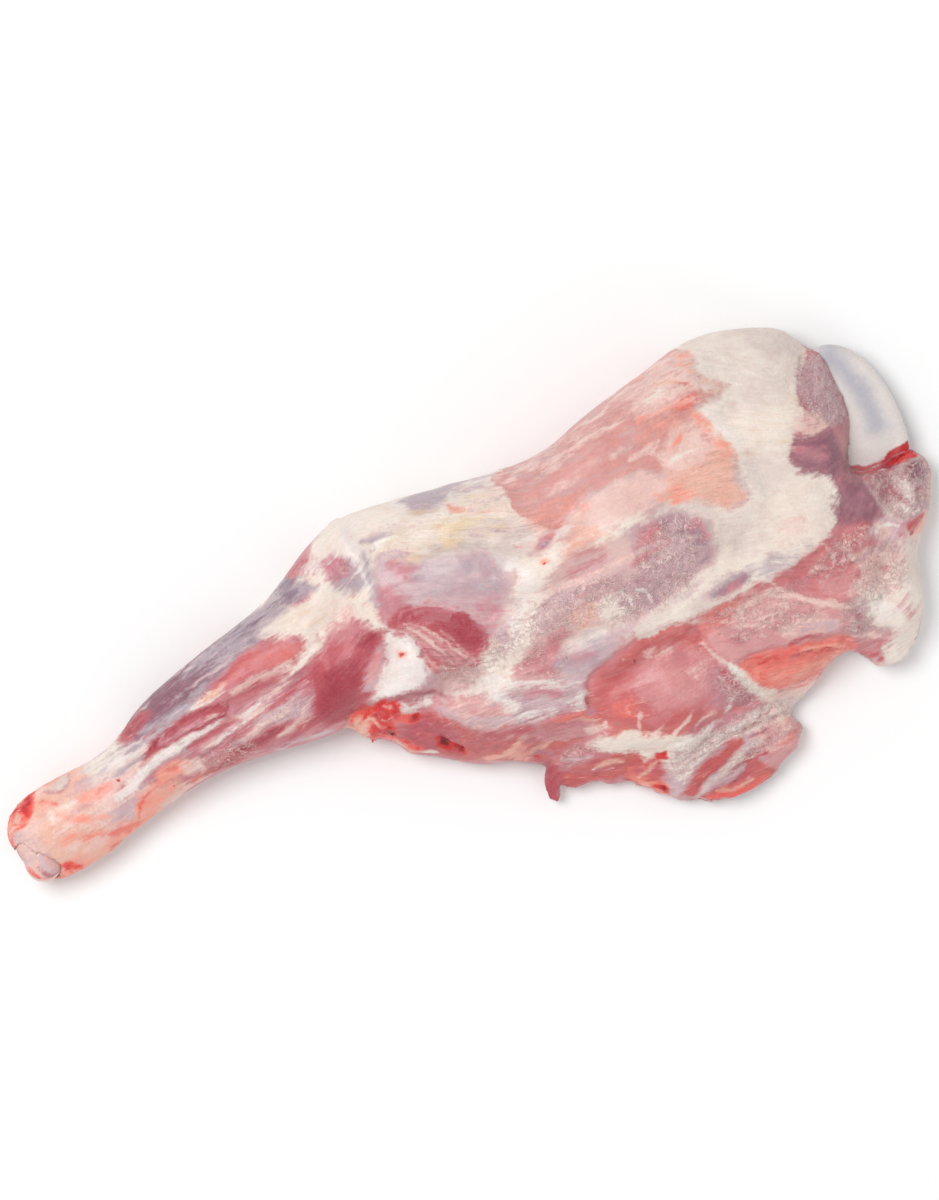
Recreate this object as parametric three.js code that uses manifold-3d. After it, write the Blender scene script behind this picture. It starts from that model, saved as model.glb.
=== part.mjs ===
// A raw kid goat's foreleg with its shoulder, skinned, lying on its flatter side.
// Three solids: the meat, which is one piece from the knuckle to the shoulder flap; the
// fan of cartilage that edges the shoulder blade and stands out of a slot in the meat; and
// the cartilage of the opened knuckle, which sits in a socket in the shank's end.
//
// Millimetres. X runs along the leg from the knuckle to the blade, Y across it towards the
// front edge, Z up from the surface the leg lies on. The origin is under the middle.

import * as THREE from "three";
import { mergeVertices } from "three/addons/utils/BufferGeometryUtils.js";
import Module from "manifold-3d";

const wasm = await Module();
wasm.setup();

// ---- driving dimensions ----

const OUTLINE_STEP = 2; // length of the straight bits that the outline is measured with
const BELLY_BLEND = 2.2; // how far the bellies of neighbouring muscles flow together
const MEAT_CELL = new THREE.Vector3(5.6, 5.6, 4.8);
const KNUCKLE_CELL = new THREE.Vector3(3, 3, 3);
const FIT_GAP = 0.35; // clearance between the meat and each cartilage
const SETTLE = 1.4; // how deep a resting belly would sink if the surface let it
const VALLEY_RISE = 3.2; // how far the underside bends up beside a resting belly
const VALLEY_MOST = 4;
const VALLEY_BLEND = 1.2;

// How the meat closes at its outline: the height of the widest line above the surface, and
// the width of the rounding from there to the full thickness.
const SHANK = { seam: 13.5, rim: 15 };
const FOREARM = { seam: 15, rim: 17 };
const SHOULDER = { seam: 14, rim: 17 };
const BLADE = { seam: 12, rim: 10 };
const BELLY = { seam: 9, rim: 9 };
const FLAP = { seam: 6, rim: 6 };

// ---- the outline, clockwise from the knuckle, seen from above ----

const KNUCKLE_END = [[-197.5, 6], [-200, 17], [-195.5, 25.5], [-184, 30.3]];
const FRONT_EDGE = [
  [-150, 33.4], [-142, 37], [-129, 44.6], [-98, 54], [-66, 62.4], [-43, 75], [-28, 80],
  [5, 77], [36, 72.2], [60, 71.8], [80, 77.8], [110, 84.6], [124, 88],
];
const BLADE_TOP = [[134, 88.6], [147, 86.3], [168, 77], [174, 67]];
const BLADE_MARGIN = [[178.5, 64.5], [179.5, 48], [180, 35], [171, 20], [170, 13.5]];
const SHOULDER_FLAP = [
  [186, 13.5], [195, 14.5], [199.7, 4], [193, -12], [181.8, -26], [175, -47], [167.5, -58.5],
  [154, -65.4], [147, -61.5], [140.5, -51.8],
];
const BELLY_EDGE = [
  [128, -54.5], [121, -59.5], [108.4, -64.5], [111, -71], [107, -78], [90, -86], [77, -88.6],
  [64, -84.4], [50, -77.4], [38.5, -65.5], [14, -56.4], [9.6, -52], [10, -45.5], [0, -38.4],
  [-15, -33], [-31, -22], [-38, -18.5], [-44, -9], [-51.5, -5.5], [-54, 1], [-50.5, 4],
];
const SHANK_UNDERSIDE = [
  [-57, 2.3], [-70, 2.6], [-98, 6], [-118, 6], [-148, 0], [-165, -5], [-189, -6.2], [-194, -2],
];

const closedOutline = (points) => {
  const curve = new THREE.CatmullRomCurve3(
    points.map(([x, y]) => new THREE.Vector3(x, y, 0)), true, "centripetal");
  return curve.getSpacedPoints(Math.round(curve.getLength() / OUTLINE_STEP)).slice(0, -1);
};

const MEAT_OUTLINE = closedOutline([
  ...KNUCKLE_END, ...FRONT_EDGE, ...BLADE_TOP, ...BLADE_MARGIN, ...SHOULDER_FLAP,
  ...BELLY_EDGE, ...SHANK_UNDERSIDE,
]);

// ---- the muscles, each a belly along a path of [x, y, half width, height of its crest] ----
// bulge is how far the surface falls from the crest to the belly's edge.

const MUSCLES = [
  { name: "knuckle", at: SHANK, bulge: 5, path: [[-190, 12, 15, 25], [-172, 13, 16, 26]] },
  { name: "knuckle knob", at: SHANK, bulge: 4, path: [[-180, 24, 7, 24.5], [-172, 25, 7, 25]] },
  { name: "shank bone", at: SHANK, bulge: 7,
    path: [[-172, 12, 16, 25], [-145, 16, 13, 26], [-112, 24, 11, 29]] },
  { name: "shin tendon", at: SHANK, bulge: 3, path: [[-165, 24, 6, 24.5], [-128, 30, 6, 30.5]] },
  { name: "shin muscle", at: FOREARM, bulge: 7,
    path: [[-140, 34, 8, 24], [-120, 40, 10, 31], [-98, 45, 11, 36], [-74, 53, 11, 38],
      [-55, 61, 11, 39]] },
  { name: "toe extensor slip", at: FOREARM, bulge: 3.5,
    path: [[-145, 18.5, 7, 26.5], [-120, 25.5, 7, 32], [-97, 30, 7, 36]] },
  { name: "toe extensor", at: FOREARM, bulge: 4.5,
    path: [[-97, 36, 7, 36], [-80, 39, 9, 39.5], [-60, 41, 10, 42]] },
  { name: "wrist flexor", at: FOREARM, bulge: 5,
    path: [[-140, 11, 8, 26], [-105, 16, 10, 32], [-72, 20, 11, 38]] },
  { name: "lower flexor", at: FOREARM, bulge: 7, path: [[-118, 8, 8, 25], [-75, 9, 9, 32]] },
  { name: "big flexor", at: FOREARM, bulge: 9,
    path: [[-60, 13, 14, 38], [-50, 22, 17, 44], [-36, 33, 13, 44]] },
  { name: "elbow knob", at: FOREARM, bulge: 9,
    path: [[-48, 52, 14, 42], [-34, 68, 16, 44], [-26, 64, 12, 46]] },
  { name: "elbow ridge", at: SHOULDER, bulge: 4, path: [[-27, 70, 8, 44], [-26, 40, 8, 46.5]] },
  { name: "elbow fat", at: SHOULDER, bulge: 4, path: [[-35, 9, 9, 43], [-22, 17, 10, 46]] },
  { name: "inner upper arm", at: SHOULDER, bulge: 6,
    path: [[-15, 30, 10, 48], [-2, 24, 13, 51], [7, 14, 11, 50]] },
  { name: "upper arm", at: SHOULDER, bulge: 6,
    path: [[-14, 46, 14, 48.5], [8, 42, 16, 53.5], [22, 33, 14, 54]] },
  { name: "shoulder joint", at: SHOULDER, bulge: 8,
    path: [[-18, 66, 14, 43], [8, 64, 15, 49], [36, 56, 15, 52]] },
  { name: "front of the shoulder", at: SHOULDER, bulge: 9,
    path: [[44, 52, 16, 53], [82, 60, 22, 53], [118, 68, 20, 47]] },
  { name: "blade sinew", at: SHOULDER, bulge: 5,
    path: [[35, 28, 10, 56], [72, 33, 11, 57], [118, 34, 14, 50]] },
  { name: "blade muscle", at: SHOULDER, bulge: 8,
    path: [[22, 8, 12, 52], [60, 13, 15, 57], [92, 17, 15, 56], [120, 22, 16, 49]] },
  { name: "long ridge", at: SHOULDER, bulge: 5,
    path: [[8, -6, 8, 47], [50, -8, 9, 51], [95, -5, 9, 50], [140, -1, 12, 42]] },
  { name: "white cover", at: BLADE, bulge: 8,
    path: [[138, 68, 22, 36], [142, 42, 20, 42], [138, 12, 20, 43]] },
  { name: "blade margin", at: BLADE, bulge: 6,
    path: [[174, 60, 7, 21], [168, 44, 9, 28], [158, 28, 12, 35], [166, 8, 10, 33]] },
  { name: "rear shoulder", at: BLADE, bulge: 6,
    path: [[166, 8, 11, 33], [156, -10, 13, 34], [142, -24, 14, 34]] },
  { name: "shoulder flap", at: BLADE, bulge: 7,
    path: [[189, 3, 12, 22], [178, -18, 13, 25], [164, -42, 14, 25], [155, -56, 9, 18]] },
  { name: "long triceps", at: SHOULDER, bulge: 8,
    path: [[45, -30, 15, 38], [68, -32, 19, 42], [88, -34, 14, 37]] },
  { name: "triceps head", at: SHOULDER, bulge: 8,
    path: [[-16, -8, 11, 38], [6, -16, 13, 43], [30, -20, 13, 43]] },
  { name: "rear muscle", at: SHOULDER, bulge: 7,
    path: [[92, -24, 12, 40], [120, -26, 15, 38], [146, -30, 13, 33]] },
  { name: "cut strip", at: BELLY, bulge: 6, path: [[104, -44, 8, 29], [138, -47, 7, 24]] },
  { name: "belly edge", at: BELLY, bulge: 8,
    path: [[-46, -1, 7, 24], [-26, -14, 10, 26], [0, -29, 9, 25], [32, -48, 9, 21]] },
  { name: "belly flap", at: FLAP, bulge: 5,
    path: [[48, -62, 10, 17], [74, -70, 16, 18], [100, -70, 14, 15]] },
  { name: "belly seam", at: FLAP, bulge: 5, path: [[30, -46, 8, 20], [92, -56, 8, 19]] },
];

// What the leg lies on: paths of [x, y, half width] along the underside.
const RESTS = [
  [[-188, 12, 9], [-150, 15, 9], [-112, 26, 11]],
  [[-100, 29, 12], [-55, 38, 16], [-20, 40, 22]],
  [[-20, 10, 24], [40, 14, 34], [100, 14, 36], [146, 10, 26]],
  [[-14, 58, 14], [60, 52, 18], [120, 56, 22], [150, 62, 14]],
  [[-22, -8, 12], [20, -28, 20], [66, -48, 24], [98, -60, 18]],
  [[110, -28, 22], [155, -34, 18], [180, -8, 12]],
];

// The knuckle's cartilage: two rounded heads side by side.
const KNUCKLE_HEADS = [
  { centre: new THREE.Vector3(-190.5, 1.5, 14.5), radii: new THREE.Vector3(8, 7.5, 9.4) },
  { centre: new THREE.Vector3(-191.5, 10.5, 13.5), radii: new THREE.Vector3(7.8, 8, 9) },
];
const HEAD_BLEND = 0.18;

// The blade's cartilage: a thin fan, hidden in the meat from BLADE_MARGIN inwards.
const FAN_OUTLINE = closedOutline([
  [171, 57], [176, 65], [183, 64], [191, 56.6], [196, 43], [197.4, 28], [194.6, 12], [188, 5],
  [176, 5], [166, 12], [165, 28], [168, 44],
]);
const FAN_CENTRE = new THREE.Vector3(181, 34, 0);
const FAN = { thickness: 4.6, rim: 3, outerHeight: 11, rise: 0.09, trough: 1.1 };

// ---- measuring ----

// Nearest place on a path: its distance, and the path's own values there from index 2 on.
function nearestOnPath(path, x, y) {
  let best = { distance: Infinity };
  for (let i = 1; i < path.length; i++) {
    const [a, b] = [path[i - 1], path[i]];
    const [dx, dy] = [b[0] - a[0], b[1] - a[1]];
    const along = THREE.MathUtils.clamp(
      ((x - a[0]) * dx + (y - a[1]) * dy) / (dx * dx + dy * dy), 0, 1);
    const distance = Math.hypot(x - a[0] - along * dx, y - a[1] - along * dy);
    if (distance < best.distance)
      best = {
        distance,
        values: a.slice(2).map((value, k) => THREE.MathUtils.lerp(value, b[k + 2], along)),
      };
  }
  return best;
}

// How far (x, y) lies inside a closed outline; negative outside.
function depthInside(outline, x, y) {
  let nearest = Infinity;
  let inside = false;
  for (let i = 0, j = outline.length - 1; i < outline.length; j = i++) {
    const [a, b] = [outline[j], outline[i]];
    const [dx, dy] = [b.x - a.x, b.y - a.y];
    const along = THREE.MathUtils.clamp(
      ((x - a.x) * dx + (y - a.y) * dy) / (dx * dx + dy * dy), 0, 1);
    nearest = Math.min(nearest, Math.hypot(x - a.x - along * dx, y - a.y - along * dy));
    if (a.y > y !== b.y > y && x < a.x + (dx * (y - a.y)) / dy) inside = !inside;
  }
  return inside ? nearest : -nearest;
}

// ---- fields: negative inside a solid, zero on its surface ----

// A slab between two heights that closes in a rounded rim at the outline.
function slabField(z, depth, { top, bottom, seam, rim }) {
  const outward = Math.max(0, 1 - depth / rim);
  const upward = z > seam ? (z - seam) / (top - seam) : (seam - z) / (seam - bottom);
  return Math.hypot(outward, upward) - 1;
}

// The surface over (x, y): a soft maximum of the muscle bellies, whose shares also blend
// how the meat closes at the outline.
function bellies(x, y) {
  const heights = MUSCLES.map(({ path, bulge }) => {
    const { distance, values: [halfWidth, crest] } = nearestOnPath(path, x, y);
    return crest - bulge * (distance / halfWidth) ** 2;
  });
  const highest = Math.max(...heights);
  const shares = heights.map((height) => Math.exp((height - highest) / BELLY_BLEND));
  const total = shares.reduce((sum, share) => sum + share, 0);
  const blended = (key) =>
    shares.reduce((sum, share, i) => sum + share * MUSCLES[i].at[key], 0) / total;
  const seam = blended("seam");
  const thinnest = seam + 3;
  return {
    top: Math.max(thinnest, highest + BELLY_BLEND * Math.log(total)),
    seam,
    rim: blended("rim"),
  };
}

function underside(x, y) {
  const rises = RESTS.map((path) => {
    const { distance, values: [halfWidth] } = nearestOnPath(path, x, y);
    return VALLEY_RISE * (distance / halfWidth) ** 2 - SETTLE;
  });
  const lowest = Math.min(VALLEY_MOST, ...rises);
  const shares = [VALLEY_MOST, ...rises].map((rise) => Math.exp((lowest - rise) / VALLEY_BLEND));
  return lowest - VALLEY_BLEND * Math.log(shares.reduce((sum, share) => sum + share, 0));
}

function meatField(x, y, z) {
  const { top, seam, rim } = bellies(x, y);
  const bottom = Math.min(underside(x, y), seam - 3);
  return slabField(z, depthInside(MEAT_OUTLINE, x, y), { top, bottom, seam, rim });
}

const ellipsoidField = ({ centre, radii }, x, y, z, grow) =>
  Math.hypot(
    (x - centre.x) / (radii.x + grow),
    (y - centre.y) / (radii.y + grow),
    (z - centre.z) / (radii.z + grow),
  ) - 1;

// Two heads with a shallow groove between them.
const knuckleField = (grow) => (x, y, z) => {
  const [a, b] = KNUCKLE_HEADS.map((head) => ellipsoidField(head, x, y, z, grow));
  return -HEAD_BLEND * Math.log(Math.exp(-a / HEAD_BLEND) + Math.exp(-b / HEAD_BLEND)) + 0.1;
};

// Heights of the blade's cartilage over (x, y): a thin plate that climbs inwards from its
// outer edge, with a trough inside that edge.
function fanHeights(x, depth, grow) {
  const seam = FAN.outerHeight + FAN.rise * Math.max(0, 198 - x);
  const closing = Math.max(0, 1 - depth / (FAN.rim + grow));
  const half = (FAN.thickness / 2 + grow) * Math.sqrt(1 - Math.min(1, closing ** 2));
  const trough = FAN.trough * Math.exp(-(((depth - 8) / 4) ** 2));
  return { top: seam + half - trough, bottom: seam - half - trough };
}

// ---- surfaces ----

const AXES = ["x", "y", "z"];

// Moves a point down the field's slope until it lies on the surface.
function settleOnSurface(field, point, reach) {
  const tiny = 0.05;
  const start = point.clone();
  for (let round = 0; round < 4; round++) {
    const value = field(point.x, point.y, point.z);
    const slope = new THREE.Vector3(
      field(point.x + tiny, point.y, point.z) - value,
      field(point.x, point.y + tiny, point.z) - value,
      field(point.x, point.y, point.z + tiny) - value,
    ).divideScalar(tiny);
    point.addScaledVector(slope, -value / Math.max(slope.lengthSq(), 1e-6));
  }
  const moved = point.clone().sub(start).clampLength(0, reach);
  return point.copy(start).add(moved);
}

// Where the corners of a grid face alternate between inside and outside, two sheets of
// surface would share an edge there: its least outside corner is taken inside.
function uncrossFaces(values, size, index) {
  for (let crossed = true; crossed; ) {
    crossed = false;
    for (let k = 0; k < size.z - 1; k++)
      for (let j = 0; j < size.y - 1; j++)
        for (let i = 0; i < size.x - 1; i++)
          for (const [[a, b, c], [d, e, f]] of [
            [[1, 0, 0], [0, 1, 0]], [[0, 1, 0], [0, 0, 1]], [[0, 0, 1], [1, 0, 0]],
          ]) {
            const face = [
              index(i, j, k), index(i + a, j + b, k + c),
              index(i + a + d, j + b + e, k + c + f), index(i + d, j + e, k + f),
            ];
            const inside = face.map((corner) => values[corner] < 0);
            if (inside[0] !== inside[2] || inside[1] !== inside[3]) continue;
            if (inside[0] === inside[1]) continue;
            const outer = face.filter((corner) => values[corner] >= 0);
            outer.sort((m, n) => values[m] - values[n]);
            values[outer[0]] = -1e-3;
            crossed = true;
          }
  }
}

// The closed surface of a field, by surface nets: one vertex in each cell that the surface
// passes through, and one quad across each grid edge that it cuts.
function surfaceOf(field, box, cell) {
  const size = box.getSize(new THREE.Vector3()).divide(cell).ceil().addScalar(1);
  const index = (i, j, k) => i + size.x * (j + size.y * k);
  const place = (i, j, k) => new THREE.Vector3(i, j, k).multiply(cell).add(box.min);
  const values = new Float64Array(size.x * size.y * size.z);
  for (let k = 0; k < size.z; k++)
    for (let j = 0; j < size.y; j++)
      for (let i = 0; i < size.x; i++) {
        const { x, y, z } = place(i, j, k);
        values[index(i, j, k)] = field(x, y, z);
      }

  uncrossFaces(values, size, index);

  const corners = [0, 1].flatMap((c) => [0, 1].flatMap((b) => [0, 1].map((a) => [a, b, c])));
  const cellEdges = corners.flatMap((from) =>
    AXES.map((_, axis) => [from, from.map((value, n) => (n === axis ? 1 : value))])
      .filter(([start, end]) => start.some((value, n) => value !== end[n])));
  const vertexOf = new Map();
  const positions = [];
  for (let k = 0; k < size.z - 1; k++)
    for (let j = 0; j < size.y - 1; j++)
      for (let i = 0; i < size.x - 1; i++) {
        const crossings = [];
        for (const [from, to] of cellEdges) {
          const a = values[index(i + from[0], j + from[1], k + from[2])];
          const b = values[index(i + to[0], j + to[1], k + to[2])];
          if (a < 0 === b < 0) continue;
          const start = place(i + from[0], j + from[1], k + from[2]);
          const end = place(i + to[0], j + to[1], k + to[2]);
          crossings.push(start.lerp(end, a / (a - b)));
        }
        if (!crossings.length) continue;
        const middle = crossings
          .reduce((sum, point) => sum.add(point), new THREE.Vector3())
          .divideScalar(crossings.length);
        settleOnSurface(field, middle, cell.x / 3);
        middle.z = Math.max(0, middle.z); // what would sink rests flat on the surface
        vertexOf.set(index(i, j, k), positions.length / 3);
        positions.push(middle.x, middle.y, middle.z);
      }

  const triangles = [];
  for (let k = 1; k < size.z - 1; k++)
    for (let j = 1; j < size.y - 1; j++)
      for (let i = 1; i < size.x - 1; i++)
        AXES.forEach((_, axis) => {
          const step = [0, 1, 2].map((n) => (n === axis ? 1 : 0));
          const here = values[index(i, j, k)] < 0;
          if (here === values[index(i + step[0], j + step[1], k + step[2])] < 0) return;
          const [p, q] = [(axis + 1) % 3, (axis + 2) % 3];
          const around = [[0, 0], [1, 0], [1, 1], [0, 1]].map(([back, up]) => {
            const at = [i, j, k];
            at[p] -= back;
            at[q] -= up;
            return vertexOf.get(index(...at));
          });
          if (!here) around.reverse();
          const [a, b, c, d] = around;
          triangles.push(a, b, c, a, c, d);
        });
  return new THREE.BufferGeometry()
    .setAttribute("position", new THREE.Float32BufferAttribute(positions, 3))
    .setIndex(triangles);
}

// The blade's cartilage, grown by a clearance: a ball whose equator is drawn out to the
// outline and whose halves are pressed to the plate's two faces.
function fanPlate(grow) {
  const around = FAN_OUTLINE.length;
  const ball = new THREE.SphereGeometry(1, around, 12);
  ball.deleteAttribute("normal");
  ball.deleteAttribute("uv");
  const plate = mergeVertices(ball, 1e-5);
  const places = plate.attributes.position;
  const onRim = FAN_OUTLINE.map((point, i) => {
    const before = FAN_OUTLINE.at(i - 1);
    const after = FAN_OUTLINE[(i + 1) % around];
    const outward = new THREE.Vector3(before.y - after.y, after.x - before.x, 0).normalize();
    return point.clone().addScaledVector(outward, grow);
  });
  for (let n = 0; n < places.count; n++) {
    const ballPlace = new THREE.Vector3().fromBufferAttribute(places, n);
    const share = Math.hypot(ballPlace.x, ballPlace.z);
    const turn = Math.atan2(ballPlace.z, ballPlace.x) / (2 * Math.PI);
    const rim = onRim[(Math.round(turn * around) + around) % around];
    const place = FAN_CENTRE.clone().lerp(rim, share);
    const depth = depthInside(onRim, place.x, place.y);
    const { top, bottom } = fanHeights(place.x, Math.max(0, depth), grow);
    places.setXYZ(n, place.x, place.y, ballPlace.y > 0 ? top : bottom);
  }
  return plate;
}

// A tapering strand of flesh along a path of [x, y, z, radius], pointed at its far end.
function strand(path, sides = 7) {
  const points = path.map(([x, y, z]) => new THREE.Vector3(x, y, z));
  const positions = [];
  points.slice(0, -1).forEach((point, i) => {
    const forward = points[i + 1].clone().sub(points[Math.max(0, i - 1)]).normalize();
    const sideways = new THREE.Vector3(0, 0, 1).cross(forward).normalize();
    const upward = forward.clone().cross(sideways);
    for (let n = 0; n < sides; n++) {
      const turn = (2 * Math.PI * n) / sides;
      const radius = path[i][3] * (1 + 0.16 * Math.sin(3 * turn + 2 * i));
      const rim = point.clone()
        .addScaledVector(sideways, radius * Math.cos(turn))
        .addScaledVector(upward, radius * Math.sin(turn));
      positions.push(rim.x, rim.y, rim.z);
    }
  });
  const rings = points.length - 1;
  const [root, tip] = [rings * sides, rings * sides + 1];
  positions.push(...points[0].toArray(), ...points.at(-1).toArray());
  const triangles = [];
  for (let n = 0; n < sides; n++) {
    const next = (n + 1) % sides;
    triangles.push(root, next, n);
    for (let ring = 0; ring < rings - 1; ring++) {
      const [a, b] = [ring * sides + n, ring * sides + next];
      triangles.push(a, b, b + sides, a, b + sides, a + sides);
    }
    triangles.push((rings - 1) * sides + n, (rings - 1) * sides + next, tip);
  }
  return new THREE.BufferGeometry()
    .setAttribute("position", new THREE.Float32BufferAttribute(positions, 3))
    .setIndex(triangles);
}

// ---- torn edges ----

// A repeatable draw between 0 and 1.
function seededDraw(seed) {
  let state = seed;
  return () => {
    state = (state * 16807) % 2147483647;
    return state / 2147483647;
  };
}

// Short rags of torn flesh along a line from one [x, y, z] to another, leaning outwards.
function tornEdge({ from, to, lean, count, length, radius, seed }) {
  const draw = seededDraw(seed);
  return Array.from({ length: count }, (_, n) => {
    const root = from.map((value, k) =>
      THREE.MathUtils.lerp(value, to[k], (n + 0.5 * draw()) / (count - 0.5)));
    const reach = length * (0.6 + 0.7 * draw());
    const thick = radius * (0.75 + 0.5 * draw());
    const turn = lean + 0.8 * (draw() - 0.5);
    const [outX, outY] = [Math.cos(turn), Math.sin(turn)];
    const lift = 1.5 * (draw() - 0.5);
    return strand([
      [root[0] - 2.5 * outX, root[1] - 2.5 * outY, root[2], thick],
      [root[0] + 0.45 * reach * outX, root[1] + 0.45 * reach * outY, root[2] + lift, 0.75 * thick],
      [root[0] + reach * outX, root[1] + reach * outY, root[2] + 1.6 * lift, 0],
    ]);
  });
}

const TORN_EDGES = [
  { from: [-196, 14, 15], to: [-186, 26, 16], lean: 2.5, count: 5, length: 4.5, radius: 2.4, seed: 11 },
  { from: [-193, 16, 19], to: [-188, 22, 20], lean: 2.4, count: 2, length: 5.5, radius: 2.6, seed: 5 },
  { from: [-180, -3, 10], to: [-174, -3.5, 11], lean: -1.9, count: 2, length: 4, radius: 2.2, seed: 23 },
  { from: [-50, 0, 12], to: [-42, -7, 10], lean: -2.5, count: 3, length: 5.5, radius: 2.6, seed: 31 },
  { from: [-46, 1, 18], to: [-38, -5, 17], lean: -2.6, count: 3, length: 6, radius: 2.8, seed: 37 },
  { from: [-38, -12, 9], to: [-28, -18, 8], lean: -2.1, count: 3, length: 4.5, radius: 2.3, seed: 41 },
  { from: [42, -63, 6], to: [51, -71, 5.5], lean: -2.4, count: 3, length: 5, radius: 2.3, seed: 53 },
];

// The loose tag that hangs from the belly's cut edge.
const BELLY_TAG = strand([
  [18, -43, 12, 5], [12.5, -47, 10, 4.4], [8.6, -52, 7.5, 3.2], [8, -56.5, 6, 2.8], [8.2, -60.5, 5, 0],
]);

// ---- solids ----

// A closed geometry as a solid, and back.
function solid(geometry) {
  const merged = mergeVertices(geometry, 1e-4);
  return new wasm.Manifold(new wasm.Mesh({
    numProp: 3,
    vertProperties: new Float32Array(merged.attributes.position.array),
    triVerts: new Uint32Array(merged.index.array),
  }));
}

function geometryOf(body) {
  const { vertProperties, triVerts } = body.getMesh();
  return new THREE.BufferGeometry()
    .setAttribute("position", new THREE.Float32BufferAttribute(vertProperties, 3))
    .setIndex([...triVerts]);
}

// The sizes of a box that leaves room round an outline or a body.
const boxAround = (low, high) =>
  new THREE.Box3(new THREE.Vector3(...low), new THREE.Vector3(...high));
const MEAT_BOX = boxAround([-210, -100, -7.2], [210, 100, 68]);
const KNUCKLE_BOX = boxAround([-206, -14, -4], [-176, 26, 34]);

function fleshSolid() {
  const rags = TORN_EDGES.flatMap(tornEdge);
  const whole = [...rags, BELLY_TAG].reduce(
    (body, rag) => body.add(solid(rag)),
    solid(surfaceOf(meatField, MEAT_BOX, MEAT_CELL)),
  );
  const slot = solid(fanPlate(FIT_GAP));
  const socket = solid(surfaceOf(knuckleField(FIT_GAP), KNUCKLE_BOX, KNUCKLE_CELL));
  return whole.subtract(slot).subtract(socket);
}

// ---- the leg ----

const finish = (color, roughness) =>
  new THREE.MeshStandardMaterial({ color, roughness, metalness: 0, flatShading: true });
const RAW_MEAT = finish(0xc98a86, 0.45);
const BLUE_CARTILAGE = finish(0xd9dde6, 0.3);
const PINK_CARTILAGE = finish(0xe6cfc8, 0.3);

const named = (name, geometry, material) => {
  const mesh = new THREE.Mesh(geometry, material);
  mesh.name = name;
  return mesh;
};

const leg = new THREE.Group();
leg.add(
  named("leg_meat", geometryOf(fleshSolid()), RAW_MEAT),
  named("blade_cartilage", fanPlate(0), BLUE_CARTILAGE),
  named("knuckle_cartilage", surfaceOf(knuckleField(0), KNUCKLE_BOX, KNUCKLE_CELL), PINK_CARTILAGE),
);

// The origin goes under the middle of the whole.
const middle = new THREE.Box3().setFromObject(leg).getCenter(new THREE.Vector3());
leg.position.set(-middle.x, -middle.y, 0);

export default leg;
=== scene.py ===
"""A raw kid goat's foreleg with its shoulder, as it lies on a pale surface.

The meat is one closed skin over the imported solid. Its tissues are laid on as strokes over
the leg's plan, in millimetres. Each tissue becomes a field on the mesh, and the material
turns the fields into muscle, sinew, fat and blood with edges that fray along the grain.
"""

import math
import bmesh
import bpy
import numpy as np
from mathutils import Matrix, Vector


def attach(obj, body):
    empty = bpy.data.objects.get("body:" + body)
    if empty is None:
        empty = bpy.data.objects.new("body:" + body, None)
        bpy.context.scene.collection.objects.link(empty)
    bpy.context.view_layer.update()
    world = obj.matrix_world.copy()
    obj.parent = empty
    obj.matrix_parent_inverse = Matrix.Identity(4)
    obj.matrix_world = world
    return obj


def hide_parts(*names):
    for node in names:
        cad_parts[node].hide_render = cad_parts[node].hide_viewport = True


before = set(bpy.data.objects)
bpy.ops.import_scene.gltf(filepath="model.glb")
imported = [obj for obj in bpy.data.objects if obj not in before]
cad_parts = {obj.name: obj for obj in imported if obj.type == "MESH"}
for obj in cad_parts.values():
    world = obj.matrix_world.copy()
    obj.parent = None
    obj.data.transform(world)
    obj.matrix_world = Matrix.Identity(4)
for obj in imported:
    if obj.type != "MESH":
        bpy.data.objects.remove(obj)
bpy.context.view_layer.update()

MM = 0.001

# ---------------------------------------------------------------- the photograph's view
IMAGE_WIDTH, IMAGE_HEIGHT = 939, 1200
MM_PER_PIXEL = 0.401966
TURN = math.radians(24)  # the leg climbs to the right in the picture
LEG_AXIS_PIXELS = (163.217, -809.914)  # where the leg's origin lies in the turned picture
LENS_MM = 150
SEEN_HEIGHT_MM = 13  # the outline lies about this high above the surface

# ---------------------------------------------------------------- the skin, in mm
SKIN_VOXEL = 1.0
SKIN_ROUNDS = 30  # rounds of smoothing, which take the solid's flat faces out
TORN_ROUNDS = 6  # fewer where the meat is torn, so that it stays rough
MEAT_TRIANGLES = 196000
TURNED_DOWN = -0.5  # a normal that points down more than this is on the underside
GRISTLE_VOXEL = 0.8
GRISTLE_ROUNDS = 8
GRISTLE_GROWTH = 0.3  # fills the gap that the solids leave around the gristle
TOP_WANDER = 0.9  # how far the edges of the tissues wander on top
FLANK_WANDER = 4.5  # and how much more on the flanks
FLANK_DRIFT = 24  # how far whole patches slide on the flanks
TURN_UNDER = 12  # how far inward the pattern is read where the skin turns under
RAGGED = 0.45  # how ragged the edges are


# ================================================================ tissues over the plan
# A patch has a closed outline of (x, y), and a trail has a path of (x, y, half width). Both
# take the tissue, how soft the edge is, and how fully the tissue covers: below 1 it is
# broken up. A stroke lies over the strokes written before it. All lengths are in mm.

def patch(tissue, soft, cover, outline):
    return {"tissue": tissue, "soft": soft, "cover": cover, "outline": outline}


def trail(tissue, soft, cover, path):
    return {"tissue": tissue, "soft": soft, "cover": cover, "path": path}


UNDERLAY = [
    patch("veil", 4, 1, [
        (-24, 36), (-24, 60), (-10, 80), (30, 80), (50, 72), (90, 90), (130, 92), (172, 74),
        (166, 56), (150, 24), (158, 6), (140, -10), (96, -12), (60, -12), (34, -18), (0, -24),
        (-18, -8), (-16, 0), (4, 4), (12, 10), (4, 28), (-10, 35)]),
]

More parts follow.
